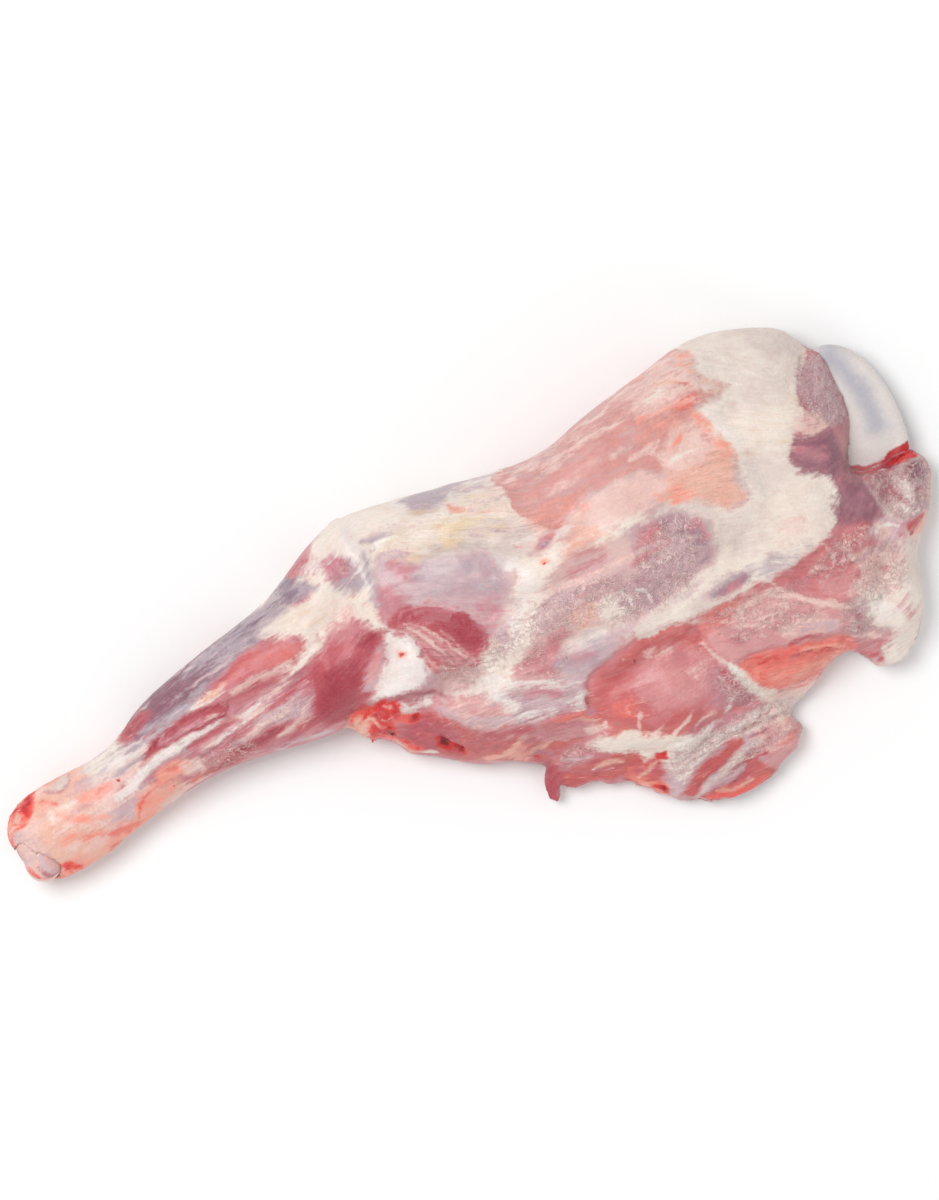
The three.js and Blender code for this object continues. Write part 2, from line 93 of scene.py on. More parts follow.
KNUCKLE_AND_SHANK = [
    patch("shell", 4, 1, [
        (-206, -12), (-206, 34), (-150, 40), (-143, 38), (-139, 31), (-128, 28), (-118, 27),
        (-128, 22), (-140, 17), (-150, 16), (-140, 12), (-128, 8), (-114, 4.5), (-140, -5),
        (-170, -14)]),
    patch("peach", 6, 0.75, [
        (-186, 6), (-186, 20), (-176, 32), (-160, 34), (-158, 24), (-162, 16), (-166, 8),
        (-176, 4)]),
    patch("ash", 4, 0.9, [
        (-160, 22.6), (-160, 34), (-150, 39), (-143, 36), (-139, 30), (-134, 28.5), (-142, 24),
        (-152, 22)]),
    patch("cream", 5, 0.36, [(-178, 10), (-177, 18), (-168, 17), (-160, 11), (-168, 8)]),
    patch("lilac", 4, 0.3, [(-172, 18), (-168, 24), (-160, 22), (-160, 16), (-168, 15)]),
    patch("cream", 3, 0.6, [(-156, 25), (-156, 34), (-146, 36), (-146, 26)]),
    patch("lilac", 4, 0.5, [(-197, 5), (-198, 15), (-192, 17), (-189, 9), (-192, 3)]),
    patch("lilac", 1.5, 0.9, [(-192, 4), (-185, 4.5), (-183.5, -1), (-185, -6), (-189, -4.5)]),
    trail("smoke", 3, 0.4, [(-160, 26.5, 1), (-148, 29, 1.6), (-136, 30, 1)]),
    trail("white", 2.5, 1, [
        (-150, 25.5, 2), (-138, 27, 2), (-126, 29.6, 1.4), (-115, 32.4, 1.3), (-104, 35.2, 1.4),
        (-95, 37, 1.4)]),
    trail("white", 2.5, 1, [
        (-152, 13, 1.4), (-143, 16.4, 2), (-134, 19.4, 2.2), (-122, 22.2, 1.5), (-110, 24, 1.2),
        (-100, 24.6, 1)]),
    trail("ash", 2, 0.6, [(-175, 27, 1), (-171, 27.8, 1.6), (-168.4, 29.4, 1)]),
    trail("rose", 0.8, 0.6, [
        (-178, 27.4, 0.3), (-173, 25.4, 0.3), (-169, 26, 0.3), (-167.4, 30, 0.4)]),
    # painted shade: the two smoke trails below are thin grey shade lines on the shank
    trail("smoke", 1.2, 0.75, [(-152, 21.2, 0.4), (-143, 22.8, 0.6), (-134, 24.6, 0.5)]),
    trail("smoke", 1.2, 0.5, [(-166, 25, 0.4), (-158, 25.4, 0.4), (-150, 26, 0.3)]),
    trail("lilac", 2.4, 0.5, [(-170, 22.6, 0.8), (-160, 23, 1.2), (-150, 24, 0.8)]),
    # painted shade: this smoke trail is a thin grey shade line beside a crease
    trail("smoke", 1.2, 0.9, [
        (-143, 28, 0.6), (-130, 29, 0.8), (-120, 31.4, 0.8), (-111, 34, 0.8)]),
    patch("lilac", 3.5, 0.75, [
        (-159, 2.5), (-161, 8), (-156, 12), (-148, 13), (-141, 15), (-143, 10), (-147, 4),
        (-152, 1.5)]),
    trail("mauve", 2.5, 0.5, [(-155, 4, 0.8), (-152, 8, 1.2), (-149, 11.6, 0.8)]),
    patch("mauve", 2, 1, [
        (-143, 14.2), (-136, 17.6), (-128, 19.6), (-118, 21), (-116, 18), (-126, 16.4),
        (-133, 15)]),
    trail("blush", 1.4, 1, [
        (-141, 15.2, 0.7), (-135, 16.2, 1), (-129, 17.2, 0.9), (-120, 18, 0.7)]),
    patch("peach", 5, 0.9, [
        (-186, 4), (-186, -9), (-165, -12), (-150, -4), (-135, 1), (-128, 5), (-128, 10),
        (-136, 11), (-144, 8), (-147, 3), (-155, 1.5), (-163, 4), (-170, 7), (-180, 6)]),
    patch("apricot", 3, 0.6, [
        (-184, -3), (-185, -9), (-160, -9), (-146, -2), (-148, 1.2), (-156, 0), (-168, -2.4)]),
    trail("shell", 2, 0.6, [(-180, 1, 0.8), (-176, 3.4, 1.6), (-173, 4, 0.9)]),
    trail("shell", 2, 0.4, [(-172, -1, 0.8), (-166, 1, 1.4), (-160, 5, 0.8)]),
    patch("apricot", 2.4, 0.6, [
        (-150, -1), (-147, 5), (-143, 10), (-134, 11.4), (-130, 8), (-138, 3)]),
    trail("apricot", 2.2, 0.85, [(-165, 17, 1.4), (-158, 18.6, 2.2), (-152, 19.6, 1.2)]),
    trail("ember", 1.6, 0.62, [(-160, 17.8, 0.8), (-156, 18.8, 1.3), (-153, 19.6, 0.6)]),
    trail("apricot", 2.5, 0.6, [(-178, 22, 1), (-182, 23.5, 1.6), (-186, 23, 2)]),
    trail("apricot", 1.6, 0.8, [(-176, 17, 0.5), (-170, 13, 1), (-163, 9.4, 0.8), (-158, 8, 0.4)]),
    trail("apricot", 1.6, 0.7, [(-180, 5, 1.4), (-175, 6, 1.2), (-169, 5, 0.8)]),
    trail("ember", 1, 0.9, [(-184, 24, 0.4), (-180, 23.4, 0.5), (-175, 20.6, 0.4)]),
    trail("ember", 1.2, 0.9, [
        (-149, 1, 0.5), (-147, 4, 0.5), (-145, 7.4, 0.5), (-142, 9.8, 0.6), (-138, 11.4, 0.6),
        (-134, 12.4, 0.7), (-131.5, 14.4, 0.8), (-129, 16, 0.6)]),
    trail("graze", 0.8, 0.5, [
        (-148.4, 2, 0.3), (-146.4, 5, 0.3), (-144.4, 8, 0.3), (-140, 10.8, 0.3)]),
    trail("ember", 2, 0.75, [
        (-171, 3.4, 0.7), (-164, 2.4, 1), (-157, 1, 1.4), (-151, 0.8, 1.2), (-146.5, 1.8, 0.8)]),
    trail("graze", 1.4, 0.4, [(-160, 1.4, 0.5), (-154, 0.4, 0.8), (-149, 1.8, 0.5)]),
    trail("graze", 2, 0.7, [(-184, -3.4, 0.6), (-180.6, -4.2, 1.5), (-178, -5.6, 0.6)]),
    trail("blood", 1.2, 0.36, [(-183, -4.4, 0.6), (-180, -5, 0.8), (-178, -6, 0.5)]),
    trail("clot", 0.9, 1, [(-183.5, -7.4, 0.8), (-181, -7.8, 0.8)]),
    trail("ember", 1.2, 0.8, [(-164, -5.4, 0.8), (-161, -4.4, 0.8), (-158, -3.4, 0.5)]),
    patch("apricot", 1.8, 0.8, [
        (-134, 9), (-134, 15), (-130, 17), (-121, 15.6), (-121, 12.6), (-127, 10.6)]),
    trail("ember", 0.9, 0.7, [(-131, 15.4, 0.4), (-125, 14.6, 0.5), (-121, 13.2, 0.3)]),
    trail("blood", 1, 0.85, [(-149.2, 20, 0.8), (-148.4, 18.8, 0.9)]),
    trail("clot", 0.7, 0.7, [(-149, 19.8, 0.5), (-148.4, 19.3, 0.5)]),
    trail("blood", 0.8, 0.7, [(-129.8, 8.6, 0.6), (-129, 8.8, 0.6)]),
    patch("graze", 1.6, 0.9, [
        (-202, 14), (-202, 24), (-195, 28), (-188, 30), (-183, 31), (-184, 25), (-187, 21),
        (-190, 19), (-194, 17.6), (-198, 14)]),
    patch("apricot", 2.4, 0.5, [(-200, 16), (-199, 22), (-193, 24), (-190, 20), (-195, 18)]),
    trail("graze", 1.6, 0.7, [(-199.6, 4, 0.8), (-199.4, 10, 1), (-200, 15, 1.2)]),
    trail("blood", 1.2, 0.7, [
        (-199.6, 17, 0.5), (-198, 21, 0.6), (-195.4, 25, 0.9), (-191, 26.4, 1.4), (-187, 26, 1.4),
        (-183.5, 29.5, 0.7)]),
    trail("blood", 1.2, 1, [(-189.6, 26, 1.2), (-188, 23.6, 1.2), (-187.4, 21, 0.6)]),
    trail("graze", 1.4, 0.8, [(-188, 20.6, 0.6), (-186, 23, 0.9), (-184, 26, 0.7)]),
    trail("peach", 1.4, 1, [(-195, 21.6, 1), (-192.4, 21.6, 1.5), (-190.8, 21.8, 0.8)]),
    trail("shell", 1, 0.6, [(-197.4, 18.6, 0.4), (-195, 19.4, 0.6), (-192.4, 19, 0.4)]),
    trail("clot", 0.9, 0.5, [(-189.3, 25.4, 0.5), (-186.6, 26.4, 0.7), (-185.4, 27.6, 0.5)]),
    trail("apricot", 1, 0.75, [(-198, 21.4, 0.4), (-195.4, 24.4, 0.6), (-191.4, 24.6, 0.4)]),
    trail("peach", 0.9, 0.6, [(-193.4, 26.6, 0.3), (-190, 27.8, 0.5), (-187, 28.6, 0.3)]),
    trail("clot", 0.8, 0.6, [(-199.6, 18.4, 0.6), (-198.8, 19.6, 0.6)]),
    trail("clot", 0.8, 0.6, [(-184.6, 30, 0.6), (-183, 30.6, 0.6)]),
    trail("maroon", 1, 0.7, [(-199.6, 3.6, 0.5), (-199.2, 9, 0.6), (-200, 14, 0.6)]),
    trail("graze", 1.4, 0.6, [
        (-198.6, 3.6, 0.8), (-195, -1, 0.9), (-190.6, -5.6, 1), (-187, -7.4, 1)]),
    trail("maroon", 1, 0.7, [
        (-193, 2.4, 0.4), (-190.6, -2.4, 0.5), (-188, -5.2, 0.6), (-185, -6.4, 0.7)]),
    trail("shell", 1.8, 1, [(-136, 2.6, 1.5), (-120, 5.8, 1.5), (-106, 6.3, 0.8)]),
    trail("ember", 1, 0.6, [(-183, 30, 0.6), (-176, 31.4, 0.6), (-171, 31.6, 0.4)]),
]

FOREARM = [
    patch("slate", 2.4, 1, [
        (-142, 35), (-138, 43), (-124, 50), (-100, 58), (-75, 63), (-58, 67), (-48, 63),
        (-44, 59.5), (-52, 56.5), (-64, 56), (-76, 53), (-66, 50), (-78, 46.5), (-87, 44),
        (-96, 41), (-105, 38), (-113, 35.4), (-124, 32.6), (-134, 31.6), (-139, 32.4)]),
    patch("plum", 4, 0.8, [
        (-132, 41), (-126, 46), (-112, 50), (-100, 49), (-100, 44), (-114, 38), (-126, 36)]),
    patch("deep", 3, 0.8, [
        (-143, 35), (-140, 41), (-132, 42), (-127, 40.6), (-128, 37.4), (-134, 34), (-140, 33)]),
    trail("crimson", 2, 0.5, [(-139, 36.6, 1), (-134, 37.4, 1.4), (-129, 39, 0.8)]),
    trail("plum", 1.6, 0.9, [
        (-133, 42.6, 0.9), (-124, 42.6, 1.4), (-114, 44.8, 1.2), (-104, 46.4, 0.7)]),
    trail("plum", 1.4, 0.8, [
        (-126, 36.6, 0.6), (-114, 38.8, 1), (-102, 42, 0.8), (-93, 44.4, 0.5)]),
    patch("smoke", 4, 0.95, [
        (-108, 49), (-108, 57), (-88, 60), (-62, 64), (-58, 57), (-68, 51), (-80, 48), (-92, 46)]),
    trail("lilac", 1, 0.75, [
        (-131, 41.8, 0.3), (-118, 45.8, 0.4), (-104, 48.2, 0.5), (-88, 49.6, 0.5),
        (-74, 50.8, 0.5)]),
    trail("lilac", 1, 0.75, [
        (-127, 36.4, 0.3), (-114, 40.2, 0.4), (-100, 43.4, 0.5), (-86, 46.4, 0.6)]),
    trail("lilac", 1, 0.6, [
        (-118, 50.4, 0.4), (-104, 52.4, 0.5), (-88, 53.6, 0.5), (-70, 54.6, 0.5)]),
    trail("smoke", 2, 0.9, [(-133, 33, 0.8), (-122, 34, 1.4), (-110, 37, 1.3), (-100, 41, 0.9)]),
    trail("slate", 1.4, 0.8, [(-112, 48, 0.4), (-98, 49, 0.6), (-82, 51.4, 0.6), (-68, 52.4, 0.4)]),
    trail("slate", 1.4, 0.8, [
        (-102, 55.4, 0.5), (-88, 56.4, 0.7), (-74, 58.8, 0.7), (-62, 61, 0.5)]),
    trail("slate", 0.9, 0.6, [
        (-100, 51.4, 0.3), (-88, 52.8, 0.4), (-74, 55.4, 0.4), (-64, 56.6, 0.3)]),
    trail("slate", 0.9, 0.6, [(-114, 52.4, 0.3), (-100, 54, 0.4), (-86, 57.6, 0.4)]),
    trail("plum", 0.9, 0.6, [
        (-130, 44.4, 0.3), (-118, 48.6, 0.4), (-106, 51, 0.4), (-96, 52.4, 0.3)]),
    trail("plum", 0.9, 0.6, [(-118, 42.6, 0.3), (-106, 45.8, 0.5), (-94, 48, 0.3)]),
    trail("deep", 1.2, 1, [
        (-139, 20.6, 0.5), (-133, 24, 1.4), (-125, 27, 2.3), (-115, 28.7, 3.1), (-105, 29, 3.5),
        (-99, 29, 3.2), (-97, 29.4, 2.2)]),
    trail("crimson", 1.1, 1, [
        (-137, 21.6, 0.4), (-130, 26.4, 0.6), (-120, 30.4, 0.6), (-108, 31.6, 0.6),
        (-98, 31.4, 0.6)]),
    trail("crimson", 1.1, 0.9, [
        (-128, 24.2, 0.4), (-116, 25.6, 0.6), (-104, 25.8, 0.6), (-97.4, 27, 0.6),
        (-96, 29.6, 0.6)]),
    trail("blush", 1.6, 0.75, [
        (-127, 25.6, 0.7), (-115, 27.4, 1), (-106, 27.6, 1.1), (-101, 28, 0.7)]),
    trail("shell", 1, 0.5, [(-107, 27.4, 0.6), (-104, 27.6, 0.8), (-101.6, 28, 0.5)]),
    patch("coral", 2.5, 1, [
        (-98, 38), (-90, 41), (-82, 43.5), (-72, 43.6), (-62, 42), (-56, 39), (-57, 36),
        (-65, 34.6), (-80, 35), (-92, 35.6)]),
    trail("deep", 1.6, 0.7, [(-97, 38.6, 0.5), (-88, 41.8, 0.8), (-80, 43.8, 0.6)]),
    patch("lean", 4, 0.42, [
        (-90, 38), (-82, 42.6), (-68, 42.6), (-60, 40), (-60, 36.6), (-76, 36.4)]),
    trail("ember", 3, 0.3, [(-76, 38.6, 0.8), (-68, 39, 1.4), (-61, 38.4, 1.2)]),
    trail("peach", 1.6, 0.7, [(-108, 34.6, 0.5), (-99, 36, 0.8), (-93, 37.6, 0.5)]),
    patch("rose", 3, 0.8, [(-95, 28), (-94, 35), (-80, 34.4), (-66, 34), (-62, 31), (-74, 29)]),
    trail("deep", 2.5, 0.6, [(-94, 30.6, 1), (-80, 30.6, 1.4), (-66, 31, 1.2)]),
    trail("cream", 3, 0.9, [
        (-74, 26.4, 0.5), (-64, 31.4, 1.2), (-57, 35.4, 1.8), (-50, 39.4, 1.8), (-46, 41.6, 1)]),
    trail("shell", 1.8, 0.8, [(-92, 33.4, 0.5), (-78, 33.8, 0.7), (-66, 34.6, 0.9)]),
    patch("blush", 3, 0.62, [
        (-116, 18.4), (-96, 21.4), (-95, 27), (-76, 28.4), (-62, 30), (-66, 24), (-84, 19.6),
        (-100, 15.6), (-112, 15.4)]),
    trail("shell", 1.8, 0.85, [
        (-98, 22.6, 0.6), (-88, 24.2, 1.2), (-76, 26, 0.8), (-68, 27.4, 0.4)]),
    trail("white", 1.3, 0.85, [(-93, 23.2, 0.4), (-86, 24.2, 0.8), (-80, 25.2, 0.4)]),
    trail("shell", 1.6, 0.8, [
        (-112, 17.6, 0.6), (-100, 18.8, 1), (-88, 21.6, 0.8), (-76, 24, 0.4)]),
    trail("white", 1.2, 0.8, [(-107, 18, 0.4), (-98, 19, 0.7), (-90, 20.6, 0.4)]),
    trail("deep", 1.1, 0.9, [(-118, 20, 0.5), (-105, 21.8, 0.6), (-95, 23, 0.5)]),
    trail("deep", 1.2, 1, [
        (-108, 15.6, 0.5), (-96, 17.2, 0.7), (-86, 19.8, 0.7), (-72, 23.6, 0.9), (-60, 28, 1)]),
    patch("lilac", 3, 0.75, [
        (-99, 14), (-96, 16), (-88, 18.4), (-78, 21), (-66, 21), (-62, 16), (-70, 13), (-85, 14),
        (-95, 12.5)]),
    trail("shell", 1.4, 0.6, [(-96, 14.6, 0.5), (-84, 16.6, 0.8), (-72, 19, 0.6)]),
    trail("deep", 2, 1, [(-106, 10, 1), (-97, 10.6, 1.8), (-85, 11.4, 2), (-76, 13.4, 1.2)]),
    trail("deep", 3, 1, [(-88, 7.6, 0.9), (-75, 8, 1.8), (-65, 9, 3), (-58, 10, 4)]),
    trail("crimson", 1.4, 0.8, [(-101, 10, 0.5), (-90, 11.4, 0.9), (-80, 12.6, 0.6)]),
    trail("shell", 1.2, 0.6, [(-83, 10, 0.4), (-75, 11, 0.6), (-67, 12.4, 0.5)]),
    trail("shell", 1.2, 0.6, [(-72, 14.6, 0.4), (-67, 16.4, 0.5), (-63, 19, 0.4)]),
    trail("maroon", 1, 1, [(-118, 14, 0.5), (-110, 15.8, 0.7), (-100, 17, 0.5)]),
    trail("ember", 2, 0.55, [
        (-122, 7.4, 0.7), (-112, 7.6, 1.1), (-103, 8.8, 1.6), (-99, 9.6, 0.8)]),
    trail("crimson", 1.6, 0.9, [(-118, 7.4, 0.6), (-108, 8.2, 0.9), (-100, 7.8, 0.6)]),
    patch("shell", 1.6, 1, [
        (-123, 14), (-120, 15.4), (-116, 14.6), (-114.6, 12), (-116, 9.6), (-120, 9),
        (-123, 10.4)]),
    trail("lilac", 1.8, 1, [(-100, 4.4, 1.2), (-85, 4, 1.4), (-72, 2.6, 1.8), (-62, 1.6, 1.4)]),
    trail("maroon", 0.8, 0.9, [(-85, 5, 0.4), (-80, 4.2, 0.5)]),
    trail("maroon", 0.8, 0.9, [(-70.5, 5.4, 0.4), (-66.4, 3.8, 0.5)]),
    patch("deep", 3, 1, [
        (-68, 7), (-66, 15), (-63, 21), (-65, 27), (-56, 32), (-49, 37), (-44, 40.6), (-40, 39),
        (-36, 34), (-30, 32), (-26.5, 30), (-30, 27), (-36, 23), (-36, 17), (-41, 12), (-45, 7),
        (-52, 4), (-60, 4.4)]),
    patch("crimson", 4, 1, [
        (-65, 7), (-66, 13), (-61, 20), (-54, 26), (-46, 27), (-42, 22), (-45, 13), (-49, 7),
        (-57, 4.6)]),
    trail("crimson", 3, 0.8, [(-40, 31, 1.4), (-34, 31, 1.6), (-29.6, 30.4, 0.8)]),
    patch("rose", 4, 0.7, [(-49, 37), (-44, 41), (-37, 39), (-33, 34), (-38, 33), (-44, 35)]),
    patch("mauve", 3, 0.75, [(-43, 15), (-37, 24), (-31, 26), (-31, 20), (-36, 14), (-42, 10)]),
    trail("flush", 2.4, 0.6, [(-41, 15, 0.8), (-36, 20, 1.2), (-32, 24, 0.8)]),
    trail("peach", 1.4, 0.9, [(-56, 2.6, 0.8), (-50, 4.3, 0.9), (-45, 5.3, 0.6)]),
]

ELBOW = [
    patch("cream", 3, 1, [
        (-64, 45.4), (-72, 49), (-66, 53.4), (-50, 55.4), (-45, 58), (-50, 63), (-43, 63.5),
        (-41, 68), (-43, 72), (-46, 79), (-28, 88), (-10, 86), (-3, 80), (-3, 70), (-10, 68),
        (-21, 66), (-22, 58), (-21, 50), (-25, 45), (-26.5, 38), (-25.6, 31), (-28, 31), (-32, 36),
        (-35, 41), (-42, 43), (-47, 42), (-53, 38.6), (-59, 35), (-61, 36), (-57, 40),
        (-60, 43.6)]),
    trail("smoke", 2.5, 1, [(-72, 59, 1), (-60, 59.4, 2), (-52, 59.2, 1.8), (-45, 57.6, 0.8)]),
    trail("slate", 2.4, 0.62, [(-66, 58.6, 0.6), (-58, 59.6, 1.2), (-51, 59, 0.8)]),
    trail("deep", 2, 0.9, [(-62, 64.4, 0.6), (-52, 67.4, 1.8), (-45, 69.4, 1.8)]),
    patch("smoke", 3.5, 0.85, [
        (-38, 53.4), (-30, 50.6), (-24, 52), (-25, 58), (-29, 61.4), (-37, 57)]),
    patch("blush", 3, 0.8, [
        (-39, 65.6), (-34.6, 67), (-30.6, 63), (-29, 58), (-36, 57), (-39, 61)]),
    trail("maroon", 1.2, 0.5, [(-34.6, 60.6, 0.6), (-31, 59.4, 0.8), (-27.6, 57.6, 0.6)]),
    trail("white", 0.7, 1, [(-36, 52.8, 0.35), (-31, 55.4, 0.45), (-25, 58, 0.35)]),
    trail("white", 3, 0.8, [(-24, 40, 1), (-23.5, 50, 1.8), (-25, 62, 2.5), (-27, 76, 2.5)]),
    trail("yellow", 5, 0.3, [(-57, 48.5, 2), (-50, 48, 2.4)]),
    trail("white", 5, 0.4, [(-44, 64, 1.6), (-34, 72, 2.4), (-20, 74, 1.6)]),
    trail("apricot", 4, 0.25, [(-46, 74.5, 1), (-36, 80, 1.4)]),
    trail("shell", 4, 0.5, [(-46, 41.4, 1.4), (-40, 43.6, 2), (-34, 42, 1.4)]),
    trail("clot", 0.8, 0.55, [(-32.4, 37.6, 0.5), (-31, 36.8, 0.5)]),
    patch("lilac", 3, 1, [(-21, 48), (-22.6, 58), (-21, 64.6), (-12, 66), (-6, 60), (-9, 50)]),
    trail("smoke", 3, 0.62, [(-24.4, 41, 0.8), (-24, 48, 1.6), (-23.4, 56, 1.4), (-23, 62, 0.8)]),
    patch("cream", 3, 0.62, [(-21, 57), (-21, 65), (-13, 66.6), (-10, 61), (-14, 57)]),
    trail("smoke", 1.6, 0.9, [(-21, 66.6, 0.5), (-15, 65.4, 0.9), (-9, 65, 0.6)]),
    trail("white", 1.6, 0.9, [(-21, 62, 0.6), (-15, 63, 1), (-9, 64.4, 0.5)]),
    patch("mauve", 3, 1, [(-22, 40), (-22, 50), (-14, 52), (-4, 48), (-6, 38), (-14, 36)]),
    patch("blush", 2.4, 0.8, [
        (-25, 36.5), (-24.4, 43), (-21.5, 47), (-18.4, 46), (-15.6, 41), (-14, 37.6), (-20, 36)]),
    patch("deep", 1.4, 1, [
        (-25, 31.5), (-22.5, 34.4), (-17, 35.6), (-10, 34.4), (0, 30), (7, 22.8), (10.2, 15),
        (9, 10), (4, 3), (0, 1.6), (-8, 3), (-15, 8), (-17, 12), (-16.4, 19), (-18.6, 26),
        (-22, 29.6)]),
    patch("crimson", 2, 1, [
        (-22, 33.4), (-10, 34), (-1, 29.6), (6, 22), (9, 14), (7.4, 10), (3, 9), (0, 13), (-4, 20),
        (-8, 25.6), (-15, 29.4)]),
    patch("rose", 3, 0.7, [
        (-16, 10), (-16, 22), (-20, 28), (-14, 27), (-8, 18), (0, 7), (-6, 3), (-12, 5)]),
    trail("flush", 0.9, 0.8, [
        (-21, 30.6, 0.3), (-16.6, 25, 0.4), (-13.4, 18, 0.5), (-11, 11, 0.4)]),
    trail("shell", 0.9, 0.75, [
        (-19, 30.6, 0.3), (-14, 24.4, 0.4), (-10.4, 17, 0.5), (-7.6, 9, 0.4)]),
    trail("flush", 0.9, 0.8, [
        (-17, 31, 0.3), (-11.6, 24.4, 0.4), (-7.6, 16.6, 0.5), (-4.4, 8, 0.4)]),
    trail("shell", 0.9, 0.7, [(-12.6, 27, 0.3), (-9, 22, 0.4), (-4.8, 15, 0.5), (-1.4, 8, 0.4)]),
    trail("flush", 0.9, 0.6, [(-7.4, 23, 0.3), (-4.4, 18, 0.3), (-1.6, 12, 0.4), (1, 6, 0.4)]),
    trail("shell", 0.9, 0.6, [(-16.4, 15.6, 0.3), (-14, 10.4, 0.4), (-10.6, 5.4, 0.4)]),
    trail("deep", 1.2, 0.8, [(-16.6, 22, 0.5), (-14.4, 14, 0.8), (-11, 7, 0.6)]),
    patch("white", 2.2, 1, [
        (-43, 7.5), (-36.5, 13), (-32.5, 18), (-29.5, 24), (-27, 29.6), (-23, 28), (-18.5, 24.5),
        (-17.2, 19.5), (-18.4, 14), (-17.6, 9.5), (-20, 6.6), (-26, 5), (-34, 4.6), (-40, 5.6)]),
    trail("maroon", 0.9, 0.9, [(-17.4, 22.4, 0.5), (-16.6, 18.6, 0.7), (-16.8, 15.6, 0.5)]),
    trail("apricot", 1.8, 0.9, [(-24.6, 20.4, 1.4), (-23.6, 17.4, 1.9)]),
    trail("blood", 1.2, 0.9, [(-24.6, 20, 1), (-24, 18, 1.2)]),
    trail("clot", 0.9, 0.55, [(-24.5, 19.6, 0.6), (-24.2, 18.5, 0.7)]),
    patch("mauve", 3, 0.62, [(-22, 5), (-14, 8), (-4, 4), (2, 0), (-8, -3), (-18, 0)]),
    trail("maroon", 1.6, 1, [
        (-45, 6, 0.6), (-38, 4.8, 1.2), (-30, 2.6, 1.8), (-22, 0.4, 1.3), (-13, -1.4, 0.9),
        (-5, -0.4, 0.5)]),
    trail("clot", 1, 0.35, [(-43, 5.6, 0.3), (-36, 4.8, 0.5), (-27, 2, 0.5), (-18, -0.6, 0.4)]),
    patch("peach", 2, 1, [(-56, 0), (-50, 4), (-46, 0.5), (-47, -3), (-54, -4)]),
    patch("graze", 1.6, 1, [
        (-55, 2), (-53, 5.5), (-46, 6), (-36, 2.4), (-32, -2), (-28, -5), (-32, -8), (-38, -5),
        (-40, -9.4), (-46, -9.4), (-53, -8), (-53, -4), (-48.6, -2), (-48, 0)]),
    patch("peach", 1.6, 0.75, [(-54, -1), (-53, 3), (-50, 4), (-48, 1), (-48.6, -2), (-52, -4)]),
    patch("blood", 1.6, 0.6, [
        (-49, 5), (-42, 5.6), (-35, 2.4), (-32, -1), (-36, -3), (-39, -3), (-40, -9), (-44, -6),
        (-50, -7), (-51, -4), (-46, -2)]),
    trail("shell", 0.8, 0.5, [(-44, 2.4, 0.4), (-41.6, -1, 0.4), (-38, -1.6, 0.4)]),
    trail("shell", 0.8, 0.45, [(-39.4, 4, 0.3), (-36, 1.4, 0.4), (-35, -1, 0.3)]),
    trail("blood", 0.9, 1, [
        (-46.6, 4.4, 0.5), (-44, 1.6, 0.5), (-43, -2.6, 0.6), (-41, -6.6, 0.8),
        (-40.4, -9.4, 0.9)]),
    trail("clot", 0.8, 0.7, [(-43.4, -4.6, 0.2), (-41.8, -7, 0.3), (-40.4, -9.4, 0.4)]),
    trail("clot", 0.8, 0.45, [(-45.6, 3.4, 0.4), (-43.6, 1.6, 0.4), (-42.8, -1.6, 0.4)]),
    trail("clot", 0.8, 0.35, [(-41, 3.6, 0.3), (-37, 1.6, 0.4), (-34, -0.6, 0.3)]),
    trail("peach", 1.2, 0.6, [(-48, 2.4, 0.5), (-45, -0.4, 0.6), (-46, -4, 0.5)]),
    trail("blood", 1.2, 1, [(-33, -6.4, 0.6), (-30, -5.6, 1.1), (-27.6, -5.2, 0.7)]),
    trail("clot", 0.8, 0.5, [(-31.4, -6.4, 0.4), (-29.4, -5.4, 0.5)]),
    trail("white", 2, 0.9, [(-34, 0.4, 0.7), (-28, -1.6, 1.3), (-20, -2.8, 1)]),
    trail("peach", 1.4, 0.9, [(-44, -10, 0.8), (-40, -15, 1), (-36, -19, 0.9)]),
    trail("graze", 1.4, 0.8, [(-40, -11, 1.1), (-37, -15.4, 1.3), (-32, -19.6, 1.2)]),
    trail("blood", 1, 0.9, [(-38.4, -12.4, 0.7), (-36.8, -14.8, 0.7)]),
    trail("blood", 1, 0.7, [(-35.6, -17, 0.5), (-33, -19, 0.5)]),
    trail("cream", 1.2, 0.7, [(-36, -20, 0.6), (-32, -21.6, 0.7), (-28, -24, 0.5)]),
    trail("blood", 1.4, 0.8, [(-26, -15.6, 0.6), (-24.6, -20, 1.6), (-21.6, -24, 1.2)]),
    trail("clot", 1, 1, [(-24.4, -17, 0.4), (-23.4, -20.4, 1), (-21.4, -22.8, 0.5)]),
    trail("blood", 1.4, 0.8, [(-22.4, -21, 1.2), (-18.5, -25.5, 1), (-17.5, -28, 0.6)]),
    trail("clot", 1, 0.5, [(-21, -23.4, 0.5), (-18.6, -26, 0.5)]),
]

